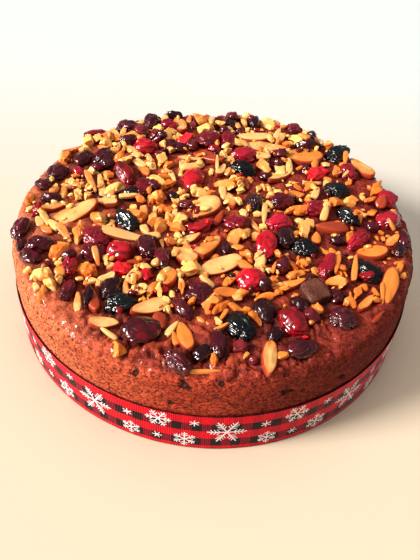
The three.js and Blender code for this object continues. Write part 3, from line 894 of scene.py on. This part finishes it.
# Chopped bits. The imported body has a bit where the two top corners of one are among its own.
walnut_bits = [walnut(3, seed, seed % 2 * 2.6, 3) for seed in range(11, 21)]
bit_places = 170
bit_field = 91 * mm
bit_sizes = (4.2 * mm, 7.6 * mm)
bit_sunk = 0.38
bit_lean = 20
bit_jitter = 2.6 * mm
walnut_up_to, almond_up_to = 0.66, 0.84
golden_angle = math.pi * (3 - math.sqrt(5))
golden = (1 + math.sqrt(5)) / 2
bit_corners = [Vector(corner).normalized() * 0.5 for corner in ((0, 1, golden), (0, -1, golden))]
found_within = 0.15 * mm
packed = places_of(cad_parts["cake"].data)
corners = kdtree.KDTree(len(packed))
for i, corner in enumerate(packed):
    corners.insert(corner, i)
corners.balance()
bit_draw = repeatable(59023)
for i in range(bit_places):
    reach = bit_field * math.sqrt((i + 0.5) / bit_places)
    x = reach * math.cos(i * golden_angle) + bit_jitter * (bit_draw() - 0.5)
    y = reach * math.sin(i * golden_angle) + bit_jitter * (bit_draw() - 0.5)
    size = bit_sizes[0] + (bit_sizes[1] - bit_sizes[0]) * bit_draw() ** 2
    slim = 0.5 + 0.4 * bit_draw()
    flat = 0.6 + 0.3 * bit_draw()
    turn = 360 * bit_draw()
    seat = seat_on(x, y, turn, size * flat, bit_sunk, bit_lean, bit_draw)
    sides = Vector((size, size * slim, size * flat))
    mix = draw()
    tone = draw()
    if all(corners.find(seat @ (corner * sides))[2] < found_within for corner in bit_corners):
        if mix < walnut_up_to:
            lay("walnut", walnut_bits[i % 10], seat, sides, tone)
        elif mix < almond_up_to:
            lay("almond", block_shapes[i % 3], seat, sides, tone)
        else:
            lay("raisin", raisin_shapes[i % 5], seat, sides, tone)


# ---------------------------------------------------------------------------------------------
# Loose chopped pieces.
# Slivers, sticks and crumbs of nut and small fruit, strewn over the sticky crust before baking,
# so they lie on and against the larger pieces.
# ---------------------------------------------------------------------------------------------
def sliver(level, seed):
    """A stick cut from an almond: flat sides, thinner at one end, a little bowed."""
    points, faces, edge = block(level, seed, 0.5, 0.1)
    x = points[:, 0]
    points[:, 1] *= 1 - 0.5 * smooth(x * (1 if seed % 2 else -1), -0.1, 0.5)
    points[:, 2] += 0.35 * (0.25 - x * x) * (seed % 3 - 1)
    return fitted(points), faces, edge * 0.6


def crumb(seed):
    """A chopped crumb with a few dozen faces."""
    bpy.ops.object.select_all(action="DESELECT")
    bpy.ops.mesh.primitive_uv_sphere_add(segments=6, ring_count=5, radius=0.5)
    bpy.ops.object.mode_set(mode="EDIT")
    bpy.ops.mesh.quads_convert_to_tris()
    bpy.ops.object.mode_set(mode="OBJECT")
    points, faces = taken(bpy.context.object)
    pick = repeatable(seed * 7919)
    points *= np.array([[0.72 + 0.45 * pick() for _ in range(3)] for _ in points])
    return fitted(points), faces, np.zeros(len(points))


def map_place(x, y):
    """Cell of the heap's map at a place."""
    return tuple(min(len(ticks) - 1, int((c + map_reach) / map_step + 0.5)) for c in (x, y))


# Nothing stands higher than this, and near the edge pieces are sunk in more.
heap_limit = cad_box[1].z + 1.2 * mm
edge_from, edge_to, edge_sunk = 88 * mm, 95 * mm, 0.3
steepest = 0.5


def resting(x, y, turn, size, sunk, pick):
    """Seat on the heap: leaning on what lies under its two ends, and sunk in a little."""
    heading = heading_of(turn)
    stops = np.linspace(-0.4, 0.4, 5) * size[0]
    under = np.array([heap_map[map_place(x + heading.x * t, y + heading.y * t)] for t in stops])
    slope = float(np.clip((under[-1] - under[0]) / (0.8 * size[0]), -steepest, steepest))
    base = under - slope * stops
    along = (heading + Vector((0, 0, slope))).normalized()
    across = Vector((-heading.y, heading.x, (pick() - 0.5) * 0.5))
    up = along.cross(across).normalized()
    sunk += edge_sunk * float(smooth(math.hypot(x, y), edge_from, edge_to))
    middle = Vector((x, y, 0.55 * base.max() + 0.45 * base.mean())) + up * size[2] * (0.5 - sunk)
    middle.z = min(middle.z, heap_limit - size[2] / 2 - abs(slope) * size[0] / 2)
    return seat_of(middle, along, up)


sliver_shapes = [sliver(3, seed) for seed in range(1, 9)]
chunk_shapes = [block(3, seed, 0.5, 0.3) for seed in range(11, 17)]
flake_shapes = [almond(3, seed + 0.5, flat=0.5) for seed in range(6, 12)]
skin_flakes = [(corners, faces, np.ones(len(edge))) for corners, faces, edge in flake_shapes]
raisin_bits = [fruit(4, seed, 1.1, 0.15, 3.0, 0.12, along=0.25) for seed in range(41, 47)]
berry_bits = [fruit(4, seed, 1.1, 0.17, 2.6, 0.07) for seed in range(51, 55)]
peel_bits = [block(3, seed, 0.7, 0.5) for seed in range(21, 24)]
# Heap of each kind of loose piece, its shapes, and its height from its width.
loose_kinds = {
    "walnut": ("walnut", walnut_bits, 0.75, 1.0),
    "stick": ("almond", sliver_shapes, 0.35, 1.1),
    "skin": ("almond", skin_flakes, 0.3, 1.6),
    "raisin": ("raisin", raisin_bits, 0.6, 1.0),
    "berry": ("cranberry", berry_bits, 0.6, 1.2),
    "peel": ("candied", peel_bits, 0.55, 1.0),
}
# x, y, turn in degrees, length and width in millimetres.
loose_pieces = {
    "walnut": (
        (-82, 47, 80, 8, 6), (-82, 35, 0, 5, 4), (-66, 26, 0, 6, 5), (-57, 25, 0, 6, 5),
        (-32, 24, -10, 11, 5), (-31, 41, 90, 10, 6), (-27, 37, 80, 8, 5), (-25, 20, 40, 9, 4),
        (-9, 14, 20, 9, 7), (-3, 12, 0, 5, 4), (-50, 38, 80, 9, 7), (-27, 50, 0, 6, 5),
        (8, 24, 60, 8, 5), (24, 42, -65, 14, 6), (24, 24, 90, 6, 4), (21, 21.5, 90, 4, 3),
        (28, 14, 30, 6, 4), (12, 19, 0, 5, 4), (11, 21, 0, 5, 5), (84, 29, 60, 14, 6),
        (78, 18, 55, 9, 4), (79, 10, 20, 7, 5), (68, 17, 20, 8, 6), (61, 15, 0, 7, 6),
        (-36, 70, -60, 8, 6), (-50, 62, 0, 10, 6), (-30, 53, 0, 7, 7), (37.5, 64, 0, 6, 5),
        (33, 55, 0, 6, 5), (11, 60, -25, 10, 6), (0.5, 80, 0, 7, 7), (4.5, 54, 0, 5, 5),
        (-65, 59, 0, 9, 7), (-73, 55, 90, 8, 6), (-63, 53, 0, 7, 5), (-69, 56, 0, 5, 5),
        (51, 82, 90, 9, 7), (62, 67, 0, 6, 6), (-93, 3, 85, 10, 5), (-64, 5, 90, 7, 4),
        (-70, 5, 0, 5, 5), (-41, 1, 90, 7, 4), (-36, -7, 90, 6, 5), (-30, -7, 85, 9, 5),
        (-26, 1, 0, 5, 5), (-23, 0, 90, 5, 4), (-23, -6, -60, 10, 5), (-18, -13, -30, 9, 5),
        (15, -15, 75, 12, 4), (39, -12, 0, 6, 4), (12, -26, 0, 6, 4), (37, -33, -75, 8, 4),
        (41, -31, 0, 5, 5), (44, -29, 90, 5, 3), (47, -35, 90, 6, 4), (65, -10, 75, 8, 4),
        (58, -36, 0, 4, 3), (69, 3, 0, 4, 3), (-66, -53, 0, 4, 4), (-82, -49, 0, 4, 4),
        (-72, -60, -75, 10, 4.5), (-32, -40, 0, 5, 4), (-25, -54, 70, 9, 5), (-22, -55, -75, 8, 3),
        (-29, -53, 0, 5, 3), (-31, -57, 0, 9, 3), (-12.5, -51, -70, 12, 4), (-9, -41, 0, 9, 7),
        (5, -61, 50, 12, 4), (13, -54, 15, 8, 6), (11, -61, 0, 7, 5), (19.5, -65, -75, 10, 5),
        (24, -53, 20, 10, 4), (30, -50, 0, 4, 3), (61, -53, -20, 6, 5), (65, -47, 75, 7, 4),
    ),
    "stick": (
        (-64, 50, 0, 7, 6), (-57, 50, 90, 10, 4), (-65, 18, -63, 18, 3.5), (-60, 18, -75, 19, 4),
        (-72, 14, -57, 17, 4), (-77, 10, -85, 14, 4), (-81.5, 9, 85, 9, 4), (-47, 48, -40, 14, 5),
        (-42, 38, -35, 9, 5), (-37, 40, -70, 15, 4), (-38, 29, -65, 10, 5), (-28, 27, 15, 8, 3),
        (-24, 29, -65, 10, 3), (-20, 38, -75, 9, 3), (-14, 38, 30, 14, 5), (-18, 14, -75, 12, 3),
        (-44, 8, 12, 10, 3), (-4, 33, 90, 4, 3), (7, 46, -70, 9, 4), (-1, 41, -88, 12, 2),
        (24, 53, 0, 9, 7), (33, 42, 0, 6, 5), (38, 45, 90, 12, 4), (24, 9, 90, 7, 3),
        (3, 15, -80, 9, 4), (58, 33, 60, 8, 4), (50, 31, 10, 10, 3), (48, 27, 50, 9, 4),
        (51, 22, 70, 10, 4), (68, 38, 45, 5, 2), (90, 12, -10, 4, 3), (55, 7, 80, 8, 4),
        (-33, 82, 80, 6, 5), (-46.5, 80, 80, 9, 4), (-44, 60, 80, 10, 4), (-6, 84, 90, 16, 4),
        (-19.5, 86, 85, 8, 3), (33.5, 70, 65, 11, 4), (32.5, 75, 75, 11, 4), (47, 69, -45, 8, 4),
        (13, 89, -80, 15, 4), (17.5, 77, -60, 6, 2), (36.5, 86, 90, 8, 2), (-59, 64, -70, 12, 4),
        (-62.5, 61, -75, 10, 3), (59, 75, 88, 11, 4), (54, 75, -60, 9, 4), (69.5, 54, 85, 9, 3),
        (-81.5, -12, -60, 10, 4), (-84, -14, -60, 8, 4), (-79, -20, -45, 8, 5), (-76, -17, -45, 10, 4),
        (-70, -22, -50, 12, 4), (-57, -17, 90, 5, 2), (-52, -38, -68, 10, 3), (-40, -4, -40, 12, 4),
        (-35, -1, -75, 9, 4), (-48, -14, -75, 8, 1.5), (-33, -15, -60, 7, 4), (-29, -19, 15, 8, 4),
        (-20, 0, 90, 9, 3), (-20, -24, 0, 5, 5), (-24, -24, -75, 6, 2), (24, 2, 88, 14, 3),
        (19, -7, -55, 11, 3), (20, -15, 90, 6, 5), (15, -36, -35, 9, 5), (22, -33, 80, 8, 5),
        (28, -36, 70, 6, 2), (38, -38, 20, 9, 4), (49, -13, 85, 9, 5), (86, -1, -60, 7, 2),
        (65, -33, 82, 14, 3), (57, -31, 78, 13, 3), (60, -34, -65, 7, 2), (52, -22, -65, 9, 1.5),
        (54, -22, -50, 4, 2), (87, -28, 75, 8, 3), (88, -24, 20, 7, 1.5), (72, 5, 90, 7, 3),
        (54, 4, 75, 9, 4), (-74, -44, 60, 5, 2), (-65.5, -49, -50, 7, 5), (-77, -56, -60, 5, 3),
        (-53, -52, 0, 5, 3), (-55.5, -63, -80, 11, 3.5), (-45, -41, 0, 4, 4), (-25, -40, 0, 4, 4),
        (-35, -47, 70, 10, 5), (-36.5, -54, -80, 7, 3), (-51, -52, 0, 4, 3), (-40, -79, -30, 9, 2),
        (-14.5, -74, 60, 9, 3), (-13, -79, -70, 7, 3), (0, -94.3, 4, 13, 2), (-2, -49, -30, 8, 3),
        (7, -45, 75, 6, 3), (10, -43, 65, 9, 3), (6, -73, 20, 7, 2), (16, -85, 60, 4, 2),
        (31, -84, 0, 5, 3.5), (6, -67, 60, 8, 2), (43, -67, 30, 3, 2), (68, -43, 0, 4, 4),
        (73, -46, -45, 4, 1.5), (76, -46, 85, 12, 2),
    ),
    "skin": (
        (13, 27, -65, 15, 6), (84, 17, 70, 8, 6), (-33, -37, 15, 11, 3), (2, -4, 70, 12, 4),
        (-20, -71, -70, 9, 6), (74, -60, 50, 9, 2),
    ),
    "raisin": (
        (-64, 32, 0, 10, 6), (-58, 32, 0, 8, 6), (-22, 12, 0, 6, 6), (-33, 17, 0, 7, 6),
        (-33, 46, 0, 6, 6), (34, 53, 0, 7, 6), (32, 46, 90, 8, 6), (-22, 54, 20, 12, 8),
        (-17, 79, 90, 10, 4), (-16, 56, 0, 8, 8), (6, 91, 90, 10, 8), (17, 88, 90, 8, 5),
        (56, 82, 90, 7, 5), (51, 70, 90, 6, 5), (-89, -29, 90, 9, 5), (38, -8, 90, 5, 4),
        (6, -25, 90, 9, 5), (34, -15, 90, 14, 9), (88, -17, 80, 10, 6), (92, -7, 90, 12, 7),
        (-51.5, -61, 90, 12, 4), (24, -47, 90, 7, 6), (19, -87, 0, 4, 4), (43, -63, -40, 8, 6),
        (55, -50, 90, 8, 7),
    ),
    "berry": (
        (-73, 26, -60, 8, 6), (-33, 62, 0, 6, 5), (-3, 56, 0, 8, 6), (2, 73, 0, 6, 6),
        (-82, -38, -30, 12, 8), (-64, -38, 0, 8, 6),
    ),
    "peel": (
        (-3, -10, 60, 6, 4), (33, 82, 0, 5, 5), (70, -38, 10, 7, 4), (-20, -53, 90, 4, 3),
    ),
}
# Pieces stay this near the middle, and a stick wider than this is a chunk or a flake.
loose_field = 93.5 * mm
widest_stick = 4.4
loose_sunk = 0.22
loose_draw = repeatable(66107)
for kind, places in loose_pieces.items():
    heap, shapes, share, rest = loose_kinds[kind]
    for i, (x, y, turn, length, width) in enumerate(places):
        size = np.array((length, width, share * width + rest)) * mm
        tone = loose_draw()
        chosen = shapes
        if kind == "stick" and width > widest_stick:
            chosen = chunk_shapes if tone < 0.6 else flake_shapes
        inward = min(1.0, loose_field / (math.hypot(x, y) * mm))
        seat = resting(x * mm * inward, y * mm * inward, turn, size, loose_sunk, loose_draw)
        lay(heap, chosen[i % len(chosen)], seat, size, tone)

# Small raisins and berries in the larger gaps, then crumbs between everything, thick in the middle
# and at the back, and few near the edge and the right. Three patches of crust stay bare: x, y and
# reach in millimetres.
bare_patches = ((-66, -76, 26), (62, -82, 22), (84, -62, 12))
gap_tries, gap_field, gap_bare, gap_sunk = 900, 90 * mm, 1.1 * mm, 0.28
crumb_tries, crumb_field, crumb_bare, crumb_sunk = 4200, 94 * mm, 2.2 * mm, 0.25
crumb_sizes = (1.8 * mm, 5.6 * mm)
crowd_size = 17 * mm


def piled(x, y, around=0.0):
    """How far the heap stands above the bare crust at a place, or the most within a distance."""
    steps = [(0, 0)] + [(around * math.cos(a), around * math.sin(a)) for a in range(6)]
    return max(heap_map[map_place(x + dx, y + dy)] - crust_at(x + dx, y + dy) for dx, dy in steps)


def kept_bare(x, y):
    """Whether a place is in one of the bare patches."""
    return any(math.hypot(x - px * mm, y - py * mm) < reach * mm for px, py, reach in bare_patches)


gap_draw = repeatable(24593)
for i in range(gap_tries):
    reach, angle = gap_field * math.sqrt(gap_draw()), 2 * math.pi * gap_draw()
    x, y = reach * math.cos(angle), reach * math.sin(angle)
    length = (8 + 4 * gap_draw()) * mm
    size = np.array((length, length * (0.62 + 0.2 * gap_draw()), length * 0.55))
    turn, kind, tone = 360 * gap_draw(), gap_draw(), gap_draw()
    if kept_bare(x, y) or piled(x, y, 0.36 * length) > gap_bare:
        continue
    heap, shapes = ("raisin", raisin_bits) if kind < 0.4 else ("cranberry", berry_bits)
    lay(heap, shapes[i % len(shapes)], resting(x, y, turn, size, gap_sunk, gap_draw), size, tone)

crumb_shapes = [crumb(seed) for seed in range(1, 17)]
crumb_draw = repeatable(90173)
for i in range(crumb_tries):
    reach = crumb_field * math.sqrt(crumb_draw())
    angle = 2 * math.pi * crumb_draw()
    x, y = reach * math.cos(angle), reach * math.sin(angle)
    length = crumb_sizes[0] + (crumb_sizes[1] - crumb_sizes[0]) * crumb_draw() ** 1.5
    size = np.array((length, length * (0.45 + 0.4 * crumb_draw()), length * (0.4 + 0.3 * crumb_draw())))
    turn, kind, tone, luck = 360 * crumb_draw(), crumb_draw(), crumb_draw(), crumb_draw()
    crowd = 0.3 + 0.7 * noise.noise(Vector((x, y, 0.4)) / crowd_size)
    crowd *= 1 - 0.5 * float(smooth(x, 30 * mm, 62 * mm)) * float(smooth(-y, -45 * mm, -20 * mm))
    crowd *= 1 - 0.75 * float(smooth(-y, 55 * mm, 74 * mm))
    crowd *= 1 - 0.7 * float(smooth(reach, 82 * mm, 93 * mm))
    if luck > crowd or kept_bare(x, y) or piled(x, y) > crumb_bare:
        continue
    seat = resting(x, y, turn, size, crumb_sunk, crumb_draw)
    heap = "walnut" if kind < 0.6 else "almond" if kind < 0.86 else "raisin" if kind < 0.96 else "candied"
    lay(heap, crumb_shapes[i % 16], seat, size, tone)

# Syrup has run between the pieces, and the crust under and around them is painted darker: partly
# for the syrup, partly as painted shade.
syrup_and_shade_reach = 4 * mm
covered_from = 1.2 * mm
steps = round(syrup_and_shade_reach / map_step)
cover = (heap_map - crust_at(map_x, map_y) > covered_from).astype(float)
for axis in (0, 1):
    cover = sum(np.roll(cover, k, axis) for k in range(-steps, steps + 1)) / (2 * steps + 1)
place = places_of(crust.data)
cells = np.clip(((place[:, :2] + map_reach) / map_step + 0.5).astype(int), 0, len(ticks) - 1)
mark(crust.data, "syrup_and_shade", smooth(cover[cells[:, 0], cells[:, 1]], 0.2, 0.6) * topness)

# Each heap becomes one piece: its name, kind and finish, and the angle from which an edge is sharp.
for name, kind, finish, angle in (
    ("cherries", "cherry", cherry_skin, 180),
    ("cranberries", "cranberry", cranberry_skin, 180),
    ("prunes", "prune", prune_skin, 180),
    ("raisins", "raisin", raisin_skin, 180),
    ("almonds", "almond", almond_finish, 36),
    ("walnuts", "walnut", walnut_finish, 36),
    ("candied_fruit", "candied", candied_finish, 60),
    ("date", "date", date_finish, 60),
):
    piece = gathered(name, kind, angle)
    piece.data.materials.append(finish)
    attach(piece, "root")
    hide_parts(*nodes_of(kind))


# ---------------------------------------------------------------------------------------------
# Ribbon.
# A strip of ribbed polyester grosgrain, wound once round the foot of the cake and lapped at the
# back. It is woven in a red and black check.
# ---------------------------------------------------------------------------------------------
ribbon_width = 25 * mm
ribbon_length = 663 * mm
ribbon_thickness = 0.4 * mm
ribbon_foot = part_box("ribbon")[0].z
ribbon_inner = 99.22 * mm
cloth_radius = ribbon_inner + ribbon_thickness / 2
# In degrees: the front of the cake, where the strip starts, and where it climbs onto its own start.
front_turn, lap_start = 270, 79
lift_from, lift_to = 428, 439
lap_lift = 0.82 * mm
hug_depth, hug_along, hug_up = 0.12 * mm, 22 * mm, 40 * mm
ribbon_steps, ribbon_rows = 720, 12


def wound(s, z, proud=0.0):
    """Place on the wound ribbon: s runs along it from the front, z up it, proud stands off it."""
    turn = front_turn + math.degrees(s / cloth_radius)
    lifted = lap_lift * float(smooth(turn, lift_from, lift_to))
    hug = hug_depth * (noise.noise(Vector((s / hug_along, z / hug_up, 3.7))) + 0.5)
    r = cloth_radius + lifted + hug + proud
    angle = math.radians(turn)
    return (r * math.cos(angle), r * math.sin(angle), ribbon_foot + z)


ribbon_start = math.radians(lap_start - front_turn) * cloth_radius
bpy.ops.object.select_all(action="DESELECT")
bpy.ops.mesh.primitive_grid_add(x_subdivisions=ribbon_steps, y_subdivisions=ribbon_rows, size=1)
ribbon = bpy.context.object
ribbon.name = "ribbon_strip"
flat = places_of(ribbon.data)
along = ribbon_start + (flat[:, 0] + 0.5) * ribbon_length
across = (flat[:, 1] + 0.5) * ribbon_width
put_places(ribbon.data, np.array([wound(s, z) for s, z in zip(along, across)]))
weave = ribbon.data.uv_layers[0]
weave.name = "weave"
for loop in ribbon.data.loops:
    weave.data[loop.index].uv = (along[loop.vertex_index], across[loop.vertex_index])
bpy.ops.object.mode_set(mode="EDIT")
bpy.ops.mesh.select_all(action="SELECT")
bpy.ops.mesh.normals_make_consistent(inside=False)
bpy.ops.object.mode_set(mode="OBJECT")
solidify = ribbon.modifiers.new("cloth", "SOLIDIFY")
solidify.thickness = ribbon_thickness
solidify.offset = 0
bpy.ops.object.modifier_apply(modifier="cloth")
bpy.ops.object.shade_smooth_by_angle(angle=math.radians(40))

check_red = rgb(228, 0, 34)
check_half = rgb(146, 0, 44)
check_dim = rgb(206, 0, 34)
check_black = rgb(20, 14, 16)
check_period = 60 / 7 * mm
check_shift = 1.7 * mm
row_period = 11.2 * mm
row_middle = 5.3 * mm
rib_period = 0.8 * mm
band_softness = 0.012

material, tree, shader = painted(
    "woven check", Specular_IOR_Level=0.08,
    Sheen_Weight=0.45, Sheen_Roughness=0.3, Sheen_Tint=(1.0, 0.6, 0.62, 1.0),
)
place = wired(tree, "UVMap", {"uv_map": "weave"}).outputs["UV"]
axes = wired(tree, "SeparateXYZ", {}, {0: place}).outputs


def bands(tree, value, shift, period, share):
    """1 inside regular bands of a value and 0 between them, with narrow soft edges."""
    moved = sums(tree, "DIVIDE", plus(tree, value, shift), period)
    away = sums(tree, "PINGPONG", moved, 0.5)
    return ramp(tree, away, share / 2 + band_softness, share / 2 - band_softness)


columns = bands(tree, axes["X"], check_shift, check_period, 0.5)
rows = bands(tree, axes["Y"], -row_middle, row_period, 0.5)
colour = blend_colour(tree, columns, check_red, check_dim)
colour = blend_colour(tree, rows, colour, blend_colour(tree, columns, check_half, check_black))
# Dark valleys between the ribs, deeper in the black rows where black thread shows and a little painted
# shade in the red rows, and a dark selvedge along both edges.
ribs = sums(tree, "SINE", times(tree, axes["X"], 2 * math.pi / rib_period))
deep = ramp(tree, rows, 0.0, 1.0, 0.14, 0.7)
colour = blend_colour(tree, times(tree, ramp(tree, ribs, 0.3, -0.7), deep), colour, check_black)
from_edge = sums(tree, "PINGPONG", axes["Y"], ribbon_width / 2)
foot_edge = ramp(tree, from_edge, 0.5 * mm, 0.2 * mm, 0.0, 0.6)
top_edge = ramp(tree, axes["Y"], ribbon_width - 0.6 * mm, ribbon_width - 0.3 * mm, 0.0, 0.6)
colour = blend_colour(tree, sums(tree, "MAXIMUM", foot_edge, top_edge), colour, check_black)
bump = wired(tree, "Bump", {}, {"Strength": 0.8, "Distance": 0.12 * mm, "Height": ribs})
rough = ramp(tree, mottle(tree, place, 500), 0.3, 0.7, 0.32, 0.4)
feed(tree, shader, Base_Color=colour, Roughness=rough, Normal=bump.outputs[0])
ribbon.data.materials.append(material)
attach(ribbon, "root")
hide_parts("ribbon")


# ---------------------------------------------------------------------------------------------
# Snowflakes.
# White ink printed on the ribbon, seven six-armed snow stars to a repeat. Each star is drawn flat,
# as mesh, and the print is then cut into narrow strips and wound round with the ribbon.
# ---------------------------------------------------------------------------------------------
print_repeat = 60 * mm
# Distance along the print and height of the middle, span, pairs of branches, turn in degrees.
flakes = (
    (11.3, 13.5, 17, 3, 0), (27.8, 17, 4.6, 0, 30), (29.3, 6, 9, 2, 30), (41.8, 19, 11.5, 2, 0),
    (41.3, 6, 4.4, 0, 0), (53.3, 6.5, 10.5, 2, 30), (57.3, 19.5, 4.4, 0, 30),
)
branch_lean = 55
flake_proud = 0.05 * mm
print_margin = 0.4 * mm
cut_step = 2.5 * mm


def turned_by(degrees, points):
    """Flat points turned round the middle."""
    c, s = math.cos(math.radians(degrees)), math.sin(math.radians(degrees))
    return [(x * c - y * s, x * s + y * c) for x, y in points]


def flake_outline(span, pairs, turn):
    """Outline of a six-armed snow star with pairs of side branches, as points from its middle."""
    long = span / 2
    wide = span * (0.1, 0.05, 0.05, 0.04)[pairs]
    full = pairs > 2
    thin = wide * (0.62 if full else 0.8)
    slope = (math.cos(math.radians(branch_lean)), math.sin(math.radians(branch_lean)))
    half = [(wide * 0.866, wide * 0.5)]
    for j in range(pairs):
        base = long * (0.34 if full else 0.42) + long * 0.52 * j / pairs
        reach = long * (0.24 - 0.02 * j if full else 0.34 - 0.08 * j)
        tip = (base + reach * slope[0], wide / 2 + reach * slope[1])
        half += [(base, wide / 2), tip, (tip[0] + thin * slope[1], tip[1] - thin * slope[0])]
        half.append((base + thin / slope[1], wide / 2))
    half.append((long, wide / 2))
    arm = [(x, -y) for x, y in half] + half[::-1]
    return [point for k in range(6) for point in turned_by(60 * k + turn, arm)]


corners, faces = [], []
for s, z, span, pairs, turn in flakes:
    ring = flake_outline(span * mm, pairs, turn)
    kept = [point for i, point in enumerate(ring) if math.dist(point, ring[i - 1]) > merge_gap / 10]
    faces.append(tuple(range(len(corners), len(corners) + len(kept))))
    corners += [(s * mm + x, 0, z * mm + y) for x, y in kept]
snowflakes = new_piece("snowflakes", corners, [], faces)
mesh = snowflakes.data
bpy.ops.object.mode_set(mode="EDIT")
bpy.ops.mesh.select_all(action="SELECT")
bpy.ops.mesh.quads_convert_to_tris(quad_method="BEAUTY", ngon_method="BEAUTY")
bpy.ops.object.mode_set(mode="OBJECT")

# Repeats of the print from end to end, without the triangles that would hang past an end.
star = places_of(mesh)
triangles = np.array([tuple(face.vertices) for face in mesh.polygons])
prints = math.ceil(-ribbon_start / print_repeat)
half_print = -ribbon_start - print_margin
whole, copies = [], []
for k in range(-prints, prints):
    moved = star + np.array([k * print_repeat, 0, 0])
    inside = abs(moved[:, 0]) < half_print
    copies.append(triangles[inside[triangles].all(1)] + len(star) * len(whole))
    whole.append(moved)
mesh.clear_geometry()
mesh.from_pydata(np.concatenate(whole).tolist(), [], np.concatenate(copies).tolist())
bpy.ops.object.mode_set(mode="EDIT")
for k in range(int(ribbon_start / cut_step) + 1, int(-ribbon_start / cut_step)):
    bpy.ops.mesh.select_all(action="SELECT")
    bpy.ops.mesh.bisect(plane_co=(k * cut_step, 0, 0), plane_no=(1, 0, 0))
bpy.ops.mesh.select_all(action="SELECT")
bpy.ops.mesh.delete_loose()
bpy.ops.object.mode_set(mode="OBJECT")
lift = ribbon_thickness / 2 + flake_proud
put_places(mesh, np.array([wound(s, z, lift) for s, _, z in places_of(mesh)]))
solidify = snowflakes.modifiers.new("ink", "SOLIDIFY")
solidify.thickness = flake_proud * 1.6
solidify.offset = -1
bpy.ops.object.modifier_apply(modifier="ink")

material, tree, shader = painted("white print", Specular_IOR_Level=0.4)
spot = object_place(tree)
worn = ramp(tree, mottle(tree, spot, 700), 0.3, 0.7)
feed(
    tree, shader, Base_Color=blend_colour(tree, worn, rgb(250, 246, 244), rgb(226, 218, 220)),
    Roughness=ramp(tree, mottle(tree, spot, 400), 0.3, 0.7, 0.4, 0.6),
)
snowflakes.data.materials.append(material)
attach(snowflakes, "root")


# ---------------------------------------------------------------------------------------------
# Floor, light and camera.
# A pale, matt table under even daylight from a window on the left, and the room's soft light.
# ---------------------------------------------------------------------------------------------
bpy.ops.object.select_all(action="DESELECT")
bpy.ops.mesh.primitive_plane_add(size=6)
floor = bpy.context.object
floor.name = "floor"
material, tree, shader = painted("pale floor", Roughness=0.8)
depth = wired(tree, "SeparateXYZ", {}, {0: object_place(tree)}).outputs["Y"]
far = ramp(tree, depth, -0.05, 0.3)
feed(tree, shader, Base_Color=blend_colour(tree, far, rgb(200, 184, 162), rgb(192, 198, 197)))
floor.data.materials.append(material)

world = bpy.data.worlds.new("studio")
bpy.context.scene.world = world
world.use_nodes = True
background = world.node_tree.nodes["Background"]
background.inputs[0].default_value = (0.93, 0.96, 1.0, 1)
# The room fills the shadows only a little, while the wall behind the table is seen as pale.
room_fill, wall_seen = 0.2, 0.85
seen = wired(world.node_tree, "LightPath").outputs["Is Camera Ray"]
strength = ramp(world.node_tree, seen, 0.0, 1.0, room_fill, wall_seen)
world.node_tree.links.new(strength, background.inputs[1])


def soft_light(name, towards, energy, spread_angle, colour, glossy=True):
    """Even soft light from a direction, as from a window or, without a reflection, a ceiling."""
    light = bpy.data.lights.new(name, "SUN")
    light.energy = energy
    light.angle = math.radians(spread_angle)
    light.color = colour
    holder = bpy.data.objects.new(name, light)
    holder.visible_glossy = glossy
    bpy.context.scene.collection.objects.link(holder)
    holder.rotation_euler = Vector(towards).to_track_quat("Z", "Y").to_euler()


soft_light("window", (-0.79, -0.22, 0.57), 4.9, 18, (1.0, 0.95, 0.88))
soft_light("window_low", (-1.0, -0.5, 0.1), 1.3, 34, (1.0, 0.96, 0.92))
soft_light("ceiling", (0.1, 0.1, 1.0), 1.4, 70, (1.0, 0.98, 0.96), False)

# The camera stands in front of the cake and looks down on it, and is held a little turned.
view_tilt = 0.78877
view_distance = 342.2 * mm
view_right = -0.456 * mm
view_up = 3.33 * mm
view_roll = -0.0704
focal_pixels = 620
picture_height = 560
sensor = 36
back = Vector((0, -math.cos(view_tilt), math.sin(view_tilt)))
right = Vector((1, 0, 0))
up = Vector((0, math.sin(view_tilt), math.cos(view_tilt)))
camera_right = right * math.cos(view_roll) - up * math.sin(view_roll)
camera_up = right * math.sin(view_roll) + up * math.cos(view_roll)
turned = Matrix((camera_right, camera_up, back)).transposed()
camera_data = bpy.data.cameras.new("camera")
camera_data.sensor_width = sensor
camera_data.lens = focal_pixels / picture_height * sensor
camera_data.clip_start = 0.01
camera = bpy.data.objects.new("camera", camera_data)
bpy.context.scene.collection.objects.link(camera)
stand = back * view_distance + right * view_right + up * view_up
camera.matrix_world = Matrix.Translation(stand) @ turned.to_4x4()
bpy.context.scene.camera = camera
bpy.context.scene.view_settings.view_transform = "Standard"
bpy.context.scene.view_settings.look = "Medium High Contrast"
